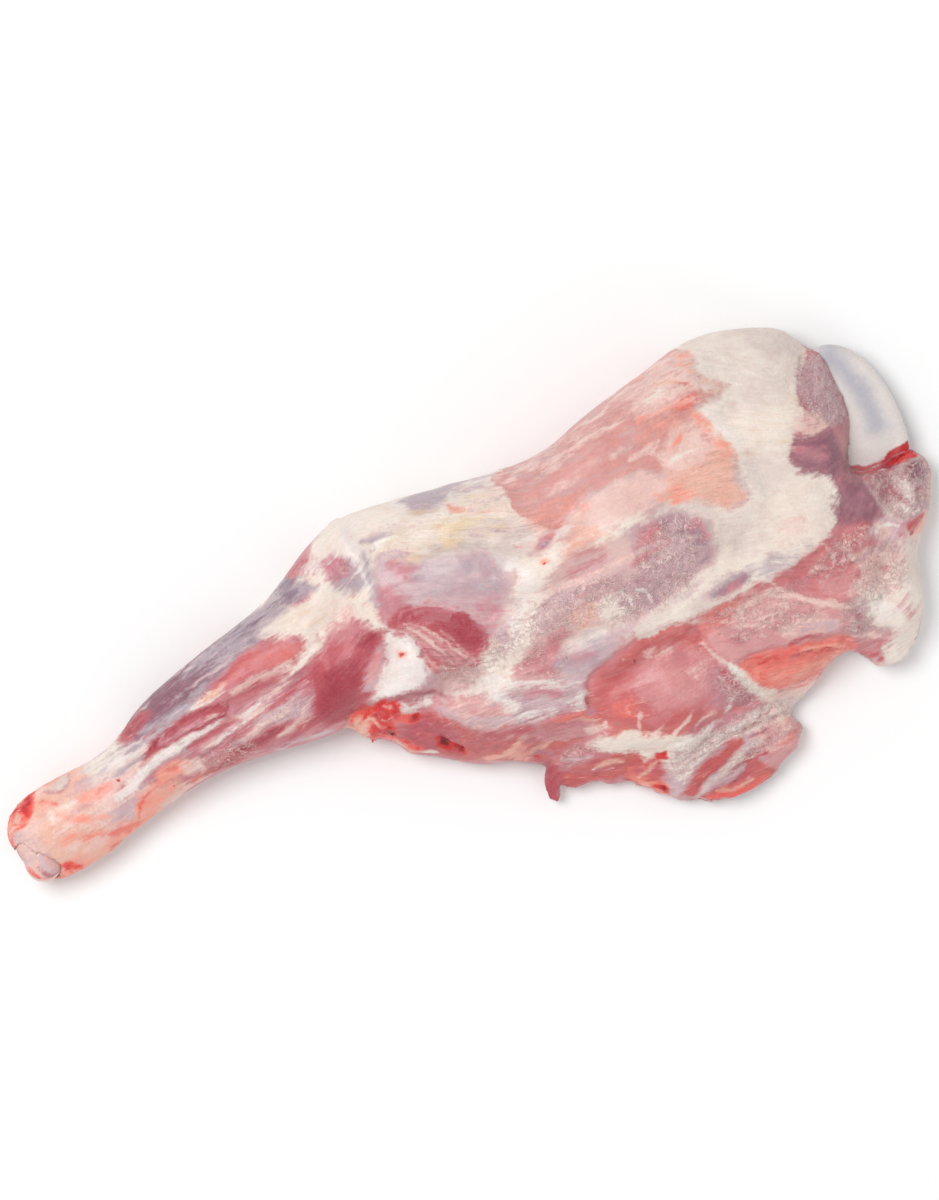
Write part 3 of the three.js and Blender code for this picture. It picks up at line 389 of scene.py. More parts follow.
BELLY = [
    patch("lean", 3, 1, [
        (-41, -6), (-34, -7), (-27, -5.5), (-22, -6), (-18, -11), (-13, -17), (-5, -22), (5, -25),
        (14, -28), (26, -33), (34, -39), (28, -42), (16, -42), (10, -46), (0, -42), (-16, -36),
        (-34, -26), (-40, -18)]),
    patch("deep", 3, 0.85, [
        (-40, -7), (-32, -8), (-25, -8), (-21, -13), (-17, -18), (-20, -22), (-26, -22), (-33, -20),
        (-38, -14)]),
    trail("deep", 2.5, 0.7, [(-14, -24, 1.6), (0, -26.5, 2.2), (12, -28.4, 1.6)]),
    patch("lilac", 3.5, 1, [
        (-20, -6), (-10, -4.6), (0, -8), (8, -11), (20, -12), (30, -17), (36, -20), (38, -26),
        (36, -29.6), (28, -28), (18, -26.4), (8, -25), (-4, -21), (-12, -16), (-18, -11)]),
    patch("flush", 4, 0.7, [(-16, -5), (-8, -4.6), (-2, -8), (-6, -12), (-14, -9)]),
    patch("shell", 4, 0.4, [(-14, -10), (-2, -10), (6, -16), (2, -21), (-8, -18)]),
    trail("flush", 2, 0.6, [(-12, -12, 0.6), (-4, -14, 1.2), (6, -18, 0.8)]),
    trail("blush", 3, 0.7, [(12, -12, 1.4), (20, -16, 2.2), (28, -22, 2)]),
    trail("white", 3, 0.8, [
        (2, -8, 1.8), (6, -14, 1.4), (8, -20, 1.2), (14, -24.6, 1), (22, -26, 1)]),
    trail("white", 3, 0.8, [(9, -8.6, 1), (20, -12.4, 1.2), (30, -16, 1.5), (37, -18, 1.8)]),
    trail("white", 3, 0.9, [(28, -26, 1), (32, -27, 2), (35.6, -24, 1.8)]),
    trail("ember", 1.6, 1, [(16, -28.6, 0.5), (23, -30, 0.9), (30, -32.4, 1.2), (38, -36, 1)]),
    trail("peach", 1, 0.6, [(24, -31.4, 0.4), (31, -33.6, 0.5), (37, -36, 0.3)]),
    trail("rose", 3, 0.9, [(8, -31, 1.5), (18, -33, 2), (30, -37, 2)]),
    trail("flush", 3, 0.85, [(14, -35, 1.2), (24, -37, 2), (34, -39.4, 2), (38, -41, 1.4)]),
    trail("shell", 1.6, 0.6, [(30, -38, 0.6), (35, -39, 1), (38.4, -40.4, 0.8)]),
    trail("peach", 3, 0.5, [(-12, -34.4, 0.8), (-2, -35.6, 1.4), (6, -37.6, 1)]),
    trail("apricot", 3, 0.42, [(-12, -34, 1), (0, -35, 2), (7, -38, 2.4), (12, -43, 2.4)]),
    patch("deep", 2.4, 0.8, [(4, -37), (8, -34), (14, -37), (16, -42), (12, -46), (6, -43)]),
    patch("lean", 2.4, 0.6, [(6, -38), (10, -36), (14, -39), (13, -44), (8, -42)]),
    trail("peach", 1.2, 0.7, [(-8, -34.6, 0.4), (0, -33.6, 0.6), (6, -31, 0.5), (8, -29.6, 0.4)]),
    trail("peach", 1.2, 0.6, [(2, -36.6, 0.4), (9, -37, 0.6), (16, -36.4, 0.5)]),
    trail("maroon", 1.2, 0.7, [(2, -34.4, 0.5), (6, -32.4, 0.6), (10, -34.6, 0.5)]),
    trail("maroon", 1.6, 0.8, [(7, -38.6, 0.6), (13, -40, 1), (13, -45, 0.8)]),
    trail("blood", 1.3, 1, [(6.3, -39.8, 0.8), (8.4, -41.4, 1.1)]),
    patch("cream", 1.8, 1, [
        (28, -43), (33, -42), (40, -44.5), (46, -45.5), (51, -49), (56, -52), (64, -55),
        (70, -57.4), (62, -58.6), (54, -59), (46, -56), (38, -51.4), (31, -48.6)]),
    trail("cream", 1.4, 0.8, [(41, -59, 0.6), (47, -57.6, 1.2), (53, -56.6, 1)]),
    trail("white", 1.2, 0.9, [(36.5, -38.4, 0.8), (38.6, -40, 0.8)]),
    patch("lean", 2, 1, [
        (9, -47), (18, -49), (27, -50), (35, -51), (43, -54), (47, -57), (42, -62), (30, -60),
        (20, -58), (11, -56)]),
    patch("rose", 3, 0.8, [(10, -46), (20, -42), (29, -44), (31, -48), (22, -50), (11, -49)]),
    trail("deep", 1.6, 0.7, [(12, -50, 0.6), (20, -51.6, 1), (30, -52.4, 1), (40, -55, 0.6)]),
    trail("lilac", 1, 0.7, [(15, -44.6, 0.4), (20, -45.6, 0.6), (24, -44.6, 0.5)]),
    trail("lilac", 1, 0.7, [(17, -48.6, 0.4), (23, -47.4, 0.6), (28, -48.6, 0.5)]),
    patch("lean", 2.4, 0.8, [
        (16, -50), (26, -51), (38, -53), (45, -57), (40, -61), (28, -59), (16, -56)]),
    trail("graze", 2, 0.3, [(24, -56.6, 0.8), (32, -58, 1.2), (42, -61, 1)]),
    trail("deep", 1, 0.6, [(20, -53, 0.4), (28, -54.6, 0.6), (38, -57.6, 0.4)]),
    trail("peach", 0.9, 0.6, [(27, -53.6, 0.4), (33, -53, 0.5), (39, -55.4, 0.3)]),
    patch("deep", 2.4, 0.85, [(3, -46), (10, -45), (14, -49), (11, -56), (10, -64), (3, -64)]),
    trail("blood", 1.4, 0.6, [(5, -52, 0.5), (5.6, -57, 0.7), (7.6, -60, 0.6)]),
    trail("clot", 0.8, 0.5, [(25, -57, 0.5), (27, -55.4, 0.5)]),
    trail("white", 0.8, 0.9, [(26.6, -53.4, 0.5), (27.4, -53.8, 0.5)]),
    patch("lean", 1.4, 1, [
        (37, -61), (44, -59.5), (52, -58.5), (56.6, -60), (55, -65), (48, -69), (41, -71),
        (35, -67)]),
    patch("ember", 2.4, 0.62, [(38, -62), (44, -60.6), (48, -64), (44, -68), (39, -68)]),
    trail("deep", 1.6, 0.7, [(41, -61, 0.8), (46, -63, 1.2), (52, -63.6, 1.2)]),
    trail("peach", 1, 0.6, [(42, -64.6, 0.4), (47, -62.4, 0.5), (51, -60.4, 0.4)]),
    trail("blood", 1.1, 1, [(51, -58.9, 0.9), (54, -60, 1.1), (56, -61, 0.7)]),
    trail("apricot", 2, 0.8, [(38, -67.4, 1.1), (43, -69, 1.1)]),
    patch("peach", 1.6, 0.8, [(43, -69), (50, -70), (55, -75), (51, -80), (44, -75)]),
    patch("ember", 1.6, 0.8, [(44, -69.6), (49, -69), (52.4, -73), (51.4, -76), (47, -75)]),
    trail("blood", 1, 1, [(46, -70.3, 0.8), (49, -72.4, 1), (50.8, -76, 0.8)]),
    trail("clot", 0.7, 0.5, [(48.4, -71.6, 0.4), (49.6, -73.6, 0.5)]),
]

BELLY_FLAP = [
    patch("lilac", 2.4, 1, [
        (55, -62), (62, -59), (75, -57), (90, -55), (100, -56), (114, -60), (110, -66), (116, -72),
        (110, -84), (95, -92), (88, -83), (80, -80), (68, -82), (60, -84), (53, -79), (51, -71)]),
    patch("mauve", 4, 0.55, [
        (70, -72), (84, -73), (98, -68), (104, -72), (96, -80), (80, -78), (66, -79)]),
    patch("flush", 4, 0.7, [
        (94, -66), (104, -64), (114, -70), (110, -84), (96, -90), (90, -84), (92, -76)]),
    patch("shell", 4, 0.4, [(92, -63), (104, -62), (108, -68), (102, -74), (94, -72)]),
    patch("cream", 3, 0.55, [
        (54, -62), (62, -59.6), (75, -58), (90, -57.6), (104, -60), (108, -64), (96, -65),
        (84, -65), (70, -67), (58, -73)]),
    patch("lean", 1.6, 1, [
        (54, -78), (58, -75), (66, -70.6), (74, -68), (84, -65.6), (86.4, -68.6), (78, -72.5),
        (68, -76.5), (60, -80)]),
    patch("lean", 1.6, 1, [
        (60, -83), (68, -81), (72, -82.5), (80, -79), (88, -76), (90, -80), (94, -84), (88, -92),
        (78, -94), (70, -92)]),
    trail("deep", 2, 0.7, [(76, -81.6, 0.6), (83, -79.6, 1.3), (89, -78.6, 0.8)]),
    trail("graze", 3, 0.6, [(64, -84.4, 1), (77, -87, 1.8), (90, -84.6, 1)]),
    trail("peach", 0.8, 0.5, [(68, -82.6, 0.3), (76, -84, 0.4), (84, -83, 0.3)]),
    patch("blush", 3, 0.8, [
        (76, -58.6), (86, -59.6), (99, -58), (104, -56), (96, -53), (84, -54.6)]),
    trail("white", 1.2, 1, [
        (57, -73, 0.5), (66, -67.6, 0.7), (76, -63.4, 0.8), (90, -60.6, 0.6), (102, -58.6, 0.4)]),
    trail("white", 1, 0.8, [(55, -65.6, 0.5), (60, -66.4, 0.8), (59, -71, 0.7)]),
    trail("white", 3, 0.85, [(58, -61, 1.6), (68, -59.4, 2), (78, -57.6, 1)]),
    trail("ash", 2, 0.75, [(62, -80, 0.6), (70, -77.4, 1.2), (82, -73, 1.4), (94, -69.6, 0.8)]),
    trail("deep", 1.2, 0.6, [(82, -77.6, 0.6), (88, -75.6, 0.9), (93, -76, 0.5)]),
    trail("maroon", 1, 0.8, [(64, -67.4, 0.4), (72, -64.4, 0.5), (80, -62.6, 0.4)]),
    trail("maroon", 1, 0.8, [(74, -78, 0.4), (84, -74.2, 0.6), (97, -71, 0.4)]),
    trail("maroon", 1, 0.8, [(84, -64.4, 0.4), (95, -62.4, 0.5), (105, -60.8, 0.4)]),
    trail("maroon", 1, 0.6, [(88, -68, 0.4), (97, -66.4, 0.5), (104, -65, 0.4)]),
    trail("peach", 1.6, 0.7, [(104, -66, 0.6), (109, -64.6, 0.7)]),
    trail("ember", 1.2, 0.55, [(98, -75, 0.5), (103, -74.4, 0.8), (107, -73, 0.4)]),
]

UPPER_ARM = [
    patch("lilac", 4, 1, [
        (-20, 50), (-18, 58), (-12, 58), (-5, 53), (5, 51), (16, 49), (24, 45), (27, 38), (28, 32),
        (26, 26), (22, 20), (17, 15), (13, 11), (10, 12), (9, 20), (4, 27), (-4, 33), (-12, 36.6),
        (-14, 42), (-17, 46)]),
    patch("mauve", 5, 0.9, [
        (11, 12), (15, 14), (21, 19), (25, 25), (28, 31), (26, 38), (14, 38), (2, 37), (-8, 37),
        (4, 31), (9, 22)]),
    patch("blush", 4, 0.5, [(10, 12), (14, 14), (18, 19), (19, 24), (13, 26), (9, 21)]),
    patch("smoke", 6, 0.5, [(-8, 42), (2, 51), (14, 50), (23, 44), (24, 34), (18, 28), (10, 34)]),
    trail("blush", 3, 0.7, [(-15, 57, 1.2), (-13, 53.5, 1.8), (-11, 49, 1.8), (-5, 46.5, 1)]),
    patch("shell", 4, 1, [
        (-12, 64), (0, 70), (12, 72), (25, 74), (38, 74), (38, 60), (40, 50), (44, 45), (42, 42),
        (34, 44), (26, 46), (16, 50.5), (4, 52.5), (-4, 55), (-12, 59)]),
    patch("cream", 5, 0.72, [
        (-12, 64), (0, 70), (12, 72), (25, 74), (38, 74), (38, 60), (40, 50), (44, 45), (42, 42),
        (34, 44), (26, 46), (16, 50.5), (4, 52.5), (-4, 55), (-12, 59)]),
    patch("shell", 4, 0.62, [
        (20, 50), (22, 60), (36, 64), (40, 52), (46, 44), (46, 38), (36, 38), (28, 44)]),
    patch("ash", 5, 0.62, [(0, 55), (12, 58), (24, 54), (30, 46), (16, 50)]),
    patch("yellow", 4, 0.62, [(8, 52.6), (14, 58.4), (22, 59.5), (26, 57), (20, 54), (13, 51)]),
    patch("yellow", 6, 0.32, [
        (-12, 60), (0, 65), (16, 67), (30, 60), (34, 54), (20, 50), (2, 53), (-8, 57)]),
    patch("ash", 4, 0.5, [(18, 50), (24, 58), (34, 60), (40, 54), (34, 48), (26, 47)]),
    patch("white", 4, 0.9, [
        (-6, 84), (-4, 72), (-12, 67.4), (0, 67), (10, 66), (20, 68), (30, 68), (38, 73), (34, 82),
        (15, 84)]),
    patch("smoke", 3, 0.9, [(3, 82), (3, 71), (7, 68.4), (12, 68), (15, 71), (15, 80), (9, 84)]),
    trail("smoke", 3, 0.5, [(16, 74, 2), (26, 72, 1.8), (36, 70, 1)]),
    trail("lilac", 1.4, 0.5, [(18, 71.6, 0.5), (25, 70.4, 0.8), (33, 67.6, 0.5)]),
    trail("lilac", 1.4, 0.5, [(24, 63.6, 0.4), (31, 62, 0.8), (38, 60.4, 0.5)]),
    trail("lilac", 1.4, 0.5, [(18, 52, 0.4), (26, 49.6, 0.8), (33, 47, 0.5)]),
    trail("blood", 1.2, 0.7, [(-0.6, 76.6, 0.7), (0.8, 76, 0.7)]),
    trail("peach", 2, 0.8, [(15.6, 67, 0.6), (17.4, 63.4, 1.2), (22, 61, 1)]),
    trail("apricot", 1.2, 0.6, [(15.8, 66, 0.3), (17.6, 63, 0.5), (21, 61.4, 0.4)]),
    trail("peach", 2, 0.5, [(27, 58.6, 0.8), (34, 55.6, 1.2), (40, 53, 0.8)]),
    patch("cream", 3.5, 1, [
        (24, 46), (28, 39), (30, 32), (27, 25), (21, 19), (15, 12), (10, 8), (4, 5), (0, 3),
        (-5, 1), (-12, 0), (-14, -2), (-5, -6), (5, -9), (10, -8), (14, -4), (18, -1), (24, 3),
        (28, 8), (32, 14), (38, 20), (44, 26), (52, 29), (58, 28), (65, 28), (78, 28.6), (88, 31),
        (78, 32.4), (62, 31.6), (53, 33), (48, 36.5), (42, 33), (38, 36), (32, 41), (27, 47)]),
    patch("ash", 4, 0.7, [(25, 44), (32, 47), (40, 46), (44, 42), (36, 36), (30, 33), (27, 38)]),
    patch("lilac", 4, 0.62, [(10, 9), (16, 14), (22, 19), (27, 22), (26, 16), (20, 9), (12, 4)]),
    trail("white", 2.5, 0.7, [(14, 6, 0.8), (22, 12, 1.2), (30, 20, 1.2), (34, 28, 0.8)]),
    trail("rose", 2, 0.5, [(32, 39, 0.8), (35, 40, 1.2)]),
    trail("blush", 2.2, 1, [(42, 37.8, 1.2), (45.5, 37.4, 1.8), (49, 38.6, 1)]),
    trail("slate", 1.6, 0.6, [(43, 36.8, 0.7), (46, 37, 1)]),
    trail("white", 3, 0.85, [(50, 37, 1), (54, 38.6, 1.8), (57, 38.4, 1)]),
    trail("apricot", 1.8, 0.6, [(41.4, 30.4, 1), (42.4, 29.4, 1)]),
    trail("blood", 1, 1, [(41.5, 29.5, 0.6), (42.2, 29.2, 0.6)]),
    trail("white", 4, 0.9, [(-12, -1, 1.6), (0, -3.5, 3.4), (9, -5.5, 2.4)]),
    trail("white", 3, 0.7, [(26, 40, 1), (30, 34, 2), (33, 28, 2.4), (28, 18, 2)]),
    patch("veil", 3.5, 0.7, [(-16, -2), (-14, 3), (-6, 4), (2, 2), (-2, -3), (-10, -4)]),
]

BLADE = [
    patch("salmon", 1.4, 1, [
        (38.5, 64), (36, 76), (50, 80), (62, 80), (75, 84), (95, 90), (110, 94), (126, 95),
        (127.5, 86), (128.5, 79), (126.5, 75), (130, 71), (135.5, 64.5), (131, 62.5), (120.5, 61.5),
        (122, 56), (124.5, 49), (127, 42), (128.5, 35.5), (122, 33), (112, 38), (104, 40), (98, 44),
        (92, 47.5), (84, 48), (74, 47.5), (66, 45.5), (57, 42.5), (51, 39.5), (46, 43), (42, 47),
        (39, 53), (39, 58)]),
    patch("peach", 2, 1, [
        (93, 34), (98, 41), (108, 43), (120, 45), (127, 42), (128.5, 35.5), (126, 33), (124, 31),
        (123, 28.5), (126.5, 24), (127, 20.5), (120, 19.5), (113, 20.5), (107, 25.5), (98, 29.5)]),
    patch("peach", 5, 0.75, [(51, 29), (56, 36), (60, 40), (67, 38), (69, 32), (62, 28.5)]),
    patch("shell", 2.5, 1, [
        (58, 42), (68, 45.4), (76, 47.4), (86, 47.6), (94, 45), (99, 40), (95, 36), (88, 33.5),
        (76, 32.5), (66, 34), (60, 37.4)]),
    patch("shell", 4, 0.7, [
        (98, 68), (99, 74), (106, 80), (116, 83), (124, 78), (122, 70), (112, 66)]),
    patch("shell", 4, 0.75, [
        (99, 43), (102, 50), (108, 57), (118, 58), (121, 52), (121, 44), (108, 42)]),
    trail("shell", 2.4, 0.6, [(58, 72.6, 0.6), (70, 73, 1.4), (84, 75, 1.4), (94, 76, 0.8)]),
    trail("shell", 1.6, 0.7, [(66, 67.5, 0.6), (80, 68.5, 1), (96, 69, 0.9)]),
    trail("shell", 1.4, 0.8, [(52, 62, 0.5), (60, 62.6, 0.9), (68, 64, 0.5)]),
    trail("shell", 2, 0.5, [(54, 53.4, 0.6), (61, 54.2, 1.1), (67, 54.4, 0.5)]),
    trail("shell", 1, 0.7, [(97, 52, 0.3), (101, 54.4, 0.5), (103, 57, 0.3)]),
    trail("shell", 1, 0.7, [(101, 49.6, 0.3), (106, 52, 0.6), (109, 55.4, 0.4)]),
    trail("cream", 1, 0.6, [(103, 44.6, 0.4), (108, 46.4, 0.8), (114, 46, 0.5)]),
    trail("shell", 1, 0.7, [(109, 49.4, 0.4), (113, 51.6, 0.6), (116, 55, 0.4)]),
    trail("apricot", 1.2, 0.6, [(104, 50, 0.3), (109, 51.6, 0.4), (113, 56, 0.3)]),
    trail("rose", 0.9, 0.36, [(106, 49, 0.3), (111, 49.4, 0.4), (117, 48.4, 0.3)]),
    trail("cream", 1.6, 0.5, [(102, 70, 0.5), (109, 72, 1), (117, 71, 0.6)]),
    trail("peach", 1.2, 0.6, [(110, 77, 0.3), (116, 75.6, 0.6), (121, 73, 0.4)]),
    trail("coral", 1, 0.5, [(119, 73.4, 0.3), (123, 71, 0.4), (126, 67.6, 0.3)]),
    trail("shell", 1.6, 0.85, [(40, 66.6, 0.5), (48, 67.4, 1), (57, 66.8, 0.9), (70, 64.4, 0.6)]),
    trail("shell", 1.4, 0.7, [(82, 58, 0.6), (87, 58.4, 1), (92, 57.6, 0.5)]),
    trail("shell", 1.4, 0.7, [(88, 52.6, 0.6), (94, 53.6, 0.8), (100, 55.6, 0.6)]),
    patch("mauve", 7, 0.36, [(42, 60), (56, 52), (76, 52), (90, 58), (90, 65), (74, 66), (52, 66)]),
    trail("ember", 2, 0.5, [(45, 71.2, 0.5), (56, 71, 0.8), (66, 71.4, 0.5)]),
    trail("apricot", 5, 0.34, [(46, 45, 2), (54, 43.6, 2.4), (66, 47.6, 1.4)]),
    trail("apricot", 5, 0.4, [(94, 63, 2), (106, 61.4, 3), (117, 62.6, 1.5)]),
    trail("ember", 2.5, 0.5, [(113, 65.6, 0.8), (119, 64.6, 1.4), (124, 66.4, 1)]),
    trail("apricot", 4, 0.62, [(84, 77.6, 1.5), (96, 81, 2.4), (108, 83, 2)]),
    trail("apricot", 3, 0.7, [(118, 86.4, 1.6), (125, 84.6, 2), (125, 79, 1.4), (126, 74.4, 1.4)]),
    trail("peach", 2.6, 1, [(124, 70.6, 1), (130, 69, 2), (133.4, 65.4, 1.4), (126, 64.6, 0.8)]),
    trail("apricot", 2.4, 0.75, [
        (118.5, 62.6, 1.4), (120.5, 57, 1.4), (123.5, 50, 1.4), (125, 43, 1.4),
        (125.4, 37.4, 1.8)]),
    trail("apricot", 2.4, 0.7, [(93.5, 35.4, 0.7), (97, 33, 1.6), (104, 32, 1.6), (112, 27, 1)]),
    trail("ember", 1.2, 0.6, [(97, 36.4, 0.4), (102, 33.8, 0.5), (105, 31.8, 0.4)]),
    trail("apricot", 2, 0.6, [(112, 22.8, 0.8), (117, 21.4, 0.9), (121, 22, 0.6)]),
    trail("blood", 0.7, 1, [(127, 63.6, 0.4), (129, 61, 0.5)]),
    trail("blood", 0.9, 0.9, [(128.6, 57.4, 0.7), (129.4, 56.6, 0.6)]),
    patch("veil", 5, 1, [
        (27, 6), (30, 13), (36, 19), (42, 24), (52, 27), (64, 27), (74, 25.6), (78, 21), (80, 16),
        (90, 14), (70, 4), (60, 2), (52, 0), (40, 0), (32, 2)]),
    patch("rose", 4, 0.5, [(48, 21), (54, 26), (64, 25), (64, 20), (56, 18.4)]),
    patch("mauve", 5, 0.55, [(30, 8), (36, 16), (50, 17), (66, 15), (72, 10), (60, 6), (44, 8)]),
    trail("shell", 2, 0.5, [(40, 20, 0.8), (50, 18.4, 1.2), (62, 16.8, 1.2), (74, 18.6, 0.8)]),
    patch("peach", 4, 0.62, [(41, 3), (45, 8), (52, 8), (52, 2), (47, 0)]),
    patch("cream", 4, 0.8, [(53, 4), (57, 8), (64, 7.5), (68, 2.6), (63, -1), (54, -1)]),
    patch("mauve", 4, 1, [
        (76, 26.5), (84, 29.5), (93, 30.4), (100, 28.6), (107, 24), (111, 18), (109, 10), (104, 4),
        (97, 0.6), (90, -2.4), (80, -3.6), (72, -3.4), (65, -1.8), (62, 4), (66, 9), (74, 12),
        (77, 18)]),
    patch("rose", 2.4, 1, [(77, 19.6), (81, 24.4), (88, 26), (89, 21), (82, 19)]),
    trail("rose", 1.8, 1, [(72, 15.4, 0.6), (81, 17, 1.1), (90, 17.6, 0.6)]),
    trail("blush", 3, 0.6, [(98, 21, 1), (103, 18, 1.6), (104, 13, 1.4)]),
    # partly grey tissue and partly painted shadow: a broad, faint grey trail
    trail("slate", 6, 0.4, [(94, 24, 1.6), (101, 20, 2), (103, 14, 2), (99, 8, 1.6)]),
    trail("ash", 4, 0.85, [
        (88, 30, 1), (100, 28.6, 1.8), (109, 22, 2.4), (110, 10, 2.6), (104, 2, 1.6)]),
    trail("white", 0.9, 0.8, [(71, 5.6, 0.3), (74.6, 3, 0.4), (74, -1, 0.3)]),
    trail("white", 0.9, 0.7, [(64, 8, 0.3), (67, 4, 0.4), (66, 0, 0.3)]),
    patch("rose", 3.5, 1, [
        (13, -5), (18, -2.6), (25, 0), (32, 2.8), (40, 2.8), (38, -1), (34, -5), (30, -9),
        (28, -13), (22, -10), (16, -7.5)]),
    patch("lilac", 4, 1, [
        (30, -9), (36, -6), (46, -7), (57, -8), (53, -13), (46, -16), (38, -18), (31, -15)]),
    patch("smoke", 6, 0.5, [(31, -9), (38, -7), (50, -7), (50, -13), (36, -15)]),
    trail("blush", 2, 0.5, [(28, -8, 0.8), (36, -9.4, 1.2), (44, -11, 0.8)]),
    trail("ash", 3.5, 0.85, [(36, -3, 1), (48, -4.4, 1.6), (62, -6, 1.6)]),
    trail("lilac", 3, 0.75, [(48, -8, 1), (58, -8, 1.4), (66, -7, 1)]),
    trail("ash", 4, 1, [
        (60, -10, 1.2), (70, -9.6, 3), (80, -9.4, 4.2), (92, -7, 4.8), (103, -2, 5)]),
    trail("cream", 4, 0.7, [(66, -11, 1), (78, -9.6, 2), (92, -5, 2.4), (104, 0, 2)]),
    trail("lilac", 2.4, 0.5, [(72, -4.4, 0.6), (84, -5, 1), (95, -2, 0.8)]),
    patch("cream", 1.8, 1, [
        (127, 100), (129.5, 80), (127.5, 75), (136.5, 64.5), (131, 61.5), (121.8, 60.3),
        (125.8, 49), (128.2, 42), (129.6, 35), (127, 31), (128, 21.5), (124, 18), (116, 18),
        (112, 20), (110, 8), (104, 2), (96, -2), (92, -8), (95, -12), (108, -13), (115, -11),
        (125, -11), (140, -9), (150, -5.5), (156, 0), (160, 8), (160, 14), (156, 18), (150, 21.5),
        (146, 25), (147, 30), (150, 34), (156, 38), (159, 42), (160, 48), (163, 54), (168, 60),
        (174, 65.5), (176, 80), (162, 90), (145, 98), (133, 100)]),
    trail("lilac", 4, 0.9, [(92, -9.6, 1), (102, -9, 2.2), (114, -6, 1.8)]),
    trail("mauve", 3, 0.9, [(97, -9.8, 1), (106, -8.8, 2), (114, -6.4, 1)]),
    trail("slate", 4, 0.5, [(100, -9.6, 0.8), (106, -8.8, 1.4), (111, -7.4, 0.8)]),
    trail("blush", 2.4, 0.5, [(101, -9, 0.8), (107, -8.6, 1.2), (111, -7.4, 0.8)]),
    trail("smoke", 4, 0.4, [(114, -5, 1), (126, -8, 1.6), (140, -7.4, 1)]),
    patch("shell", 5, 0.5, [(130, 2), (136, 6), (143, 5), (139, 0), (132, -1)]),
    patch("ash", 7, 0.75, [(127, 34), (138, 35), (147, 28), (140, 19), (128, 21)]),
    patch("ash", 6, 0.7, [(138, 60), (148, 65), (158, 60), (155, 50), (143, 52)]),
    patch("ash", 5, 0.8, [(148, 84), (162, 84), (174, 74), (170, 63), (158, 68)]),
    patch("ash", 6, 0.62, [(112, 16), (124, 14), (126, 4), (112, 4)]),
    patch("ash", 8, 0.5, [(126, 84), (150, 88), (170, 74), (158, 56), (136, 52), (128, 66)]),
    trail("white", 5, 0.7, [(124, 60, 1), (127, 50, 1.6), (131, 42, 2)]),
    trail("yellow", 8, 0.22, [(134, 46, 2), (143, 42, 3), (152, 46, 2)]),
]

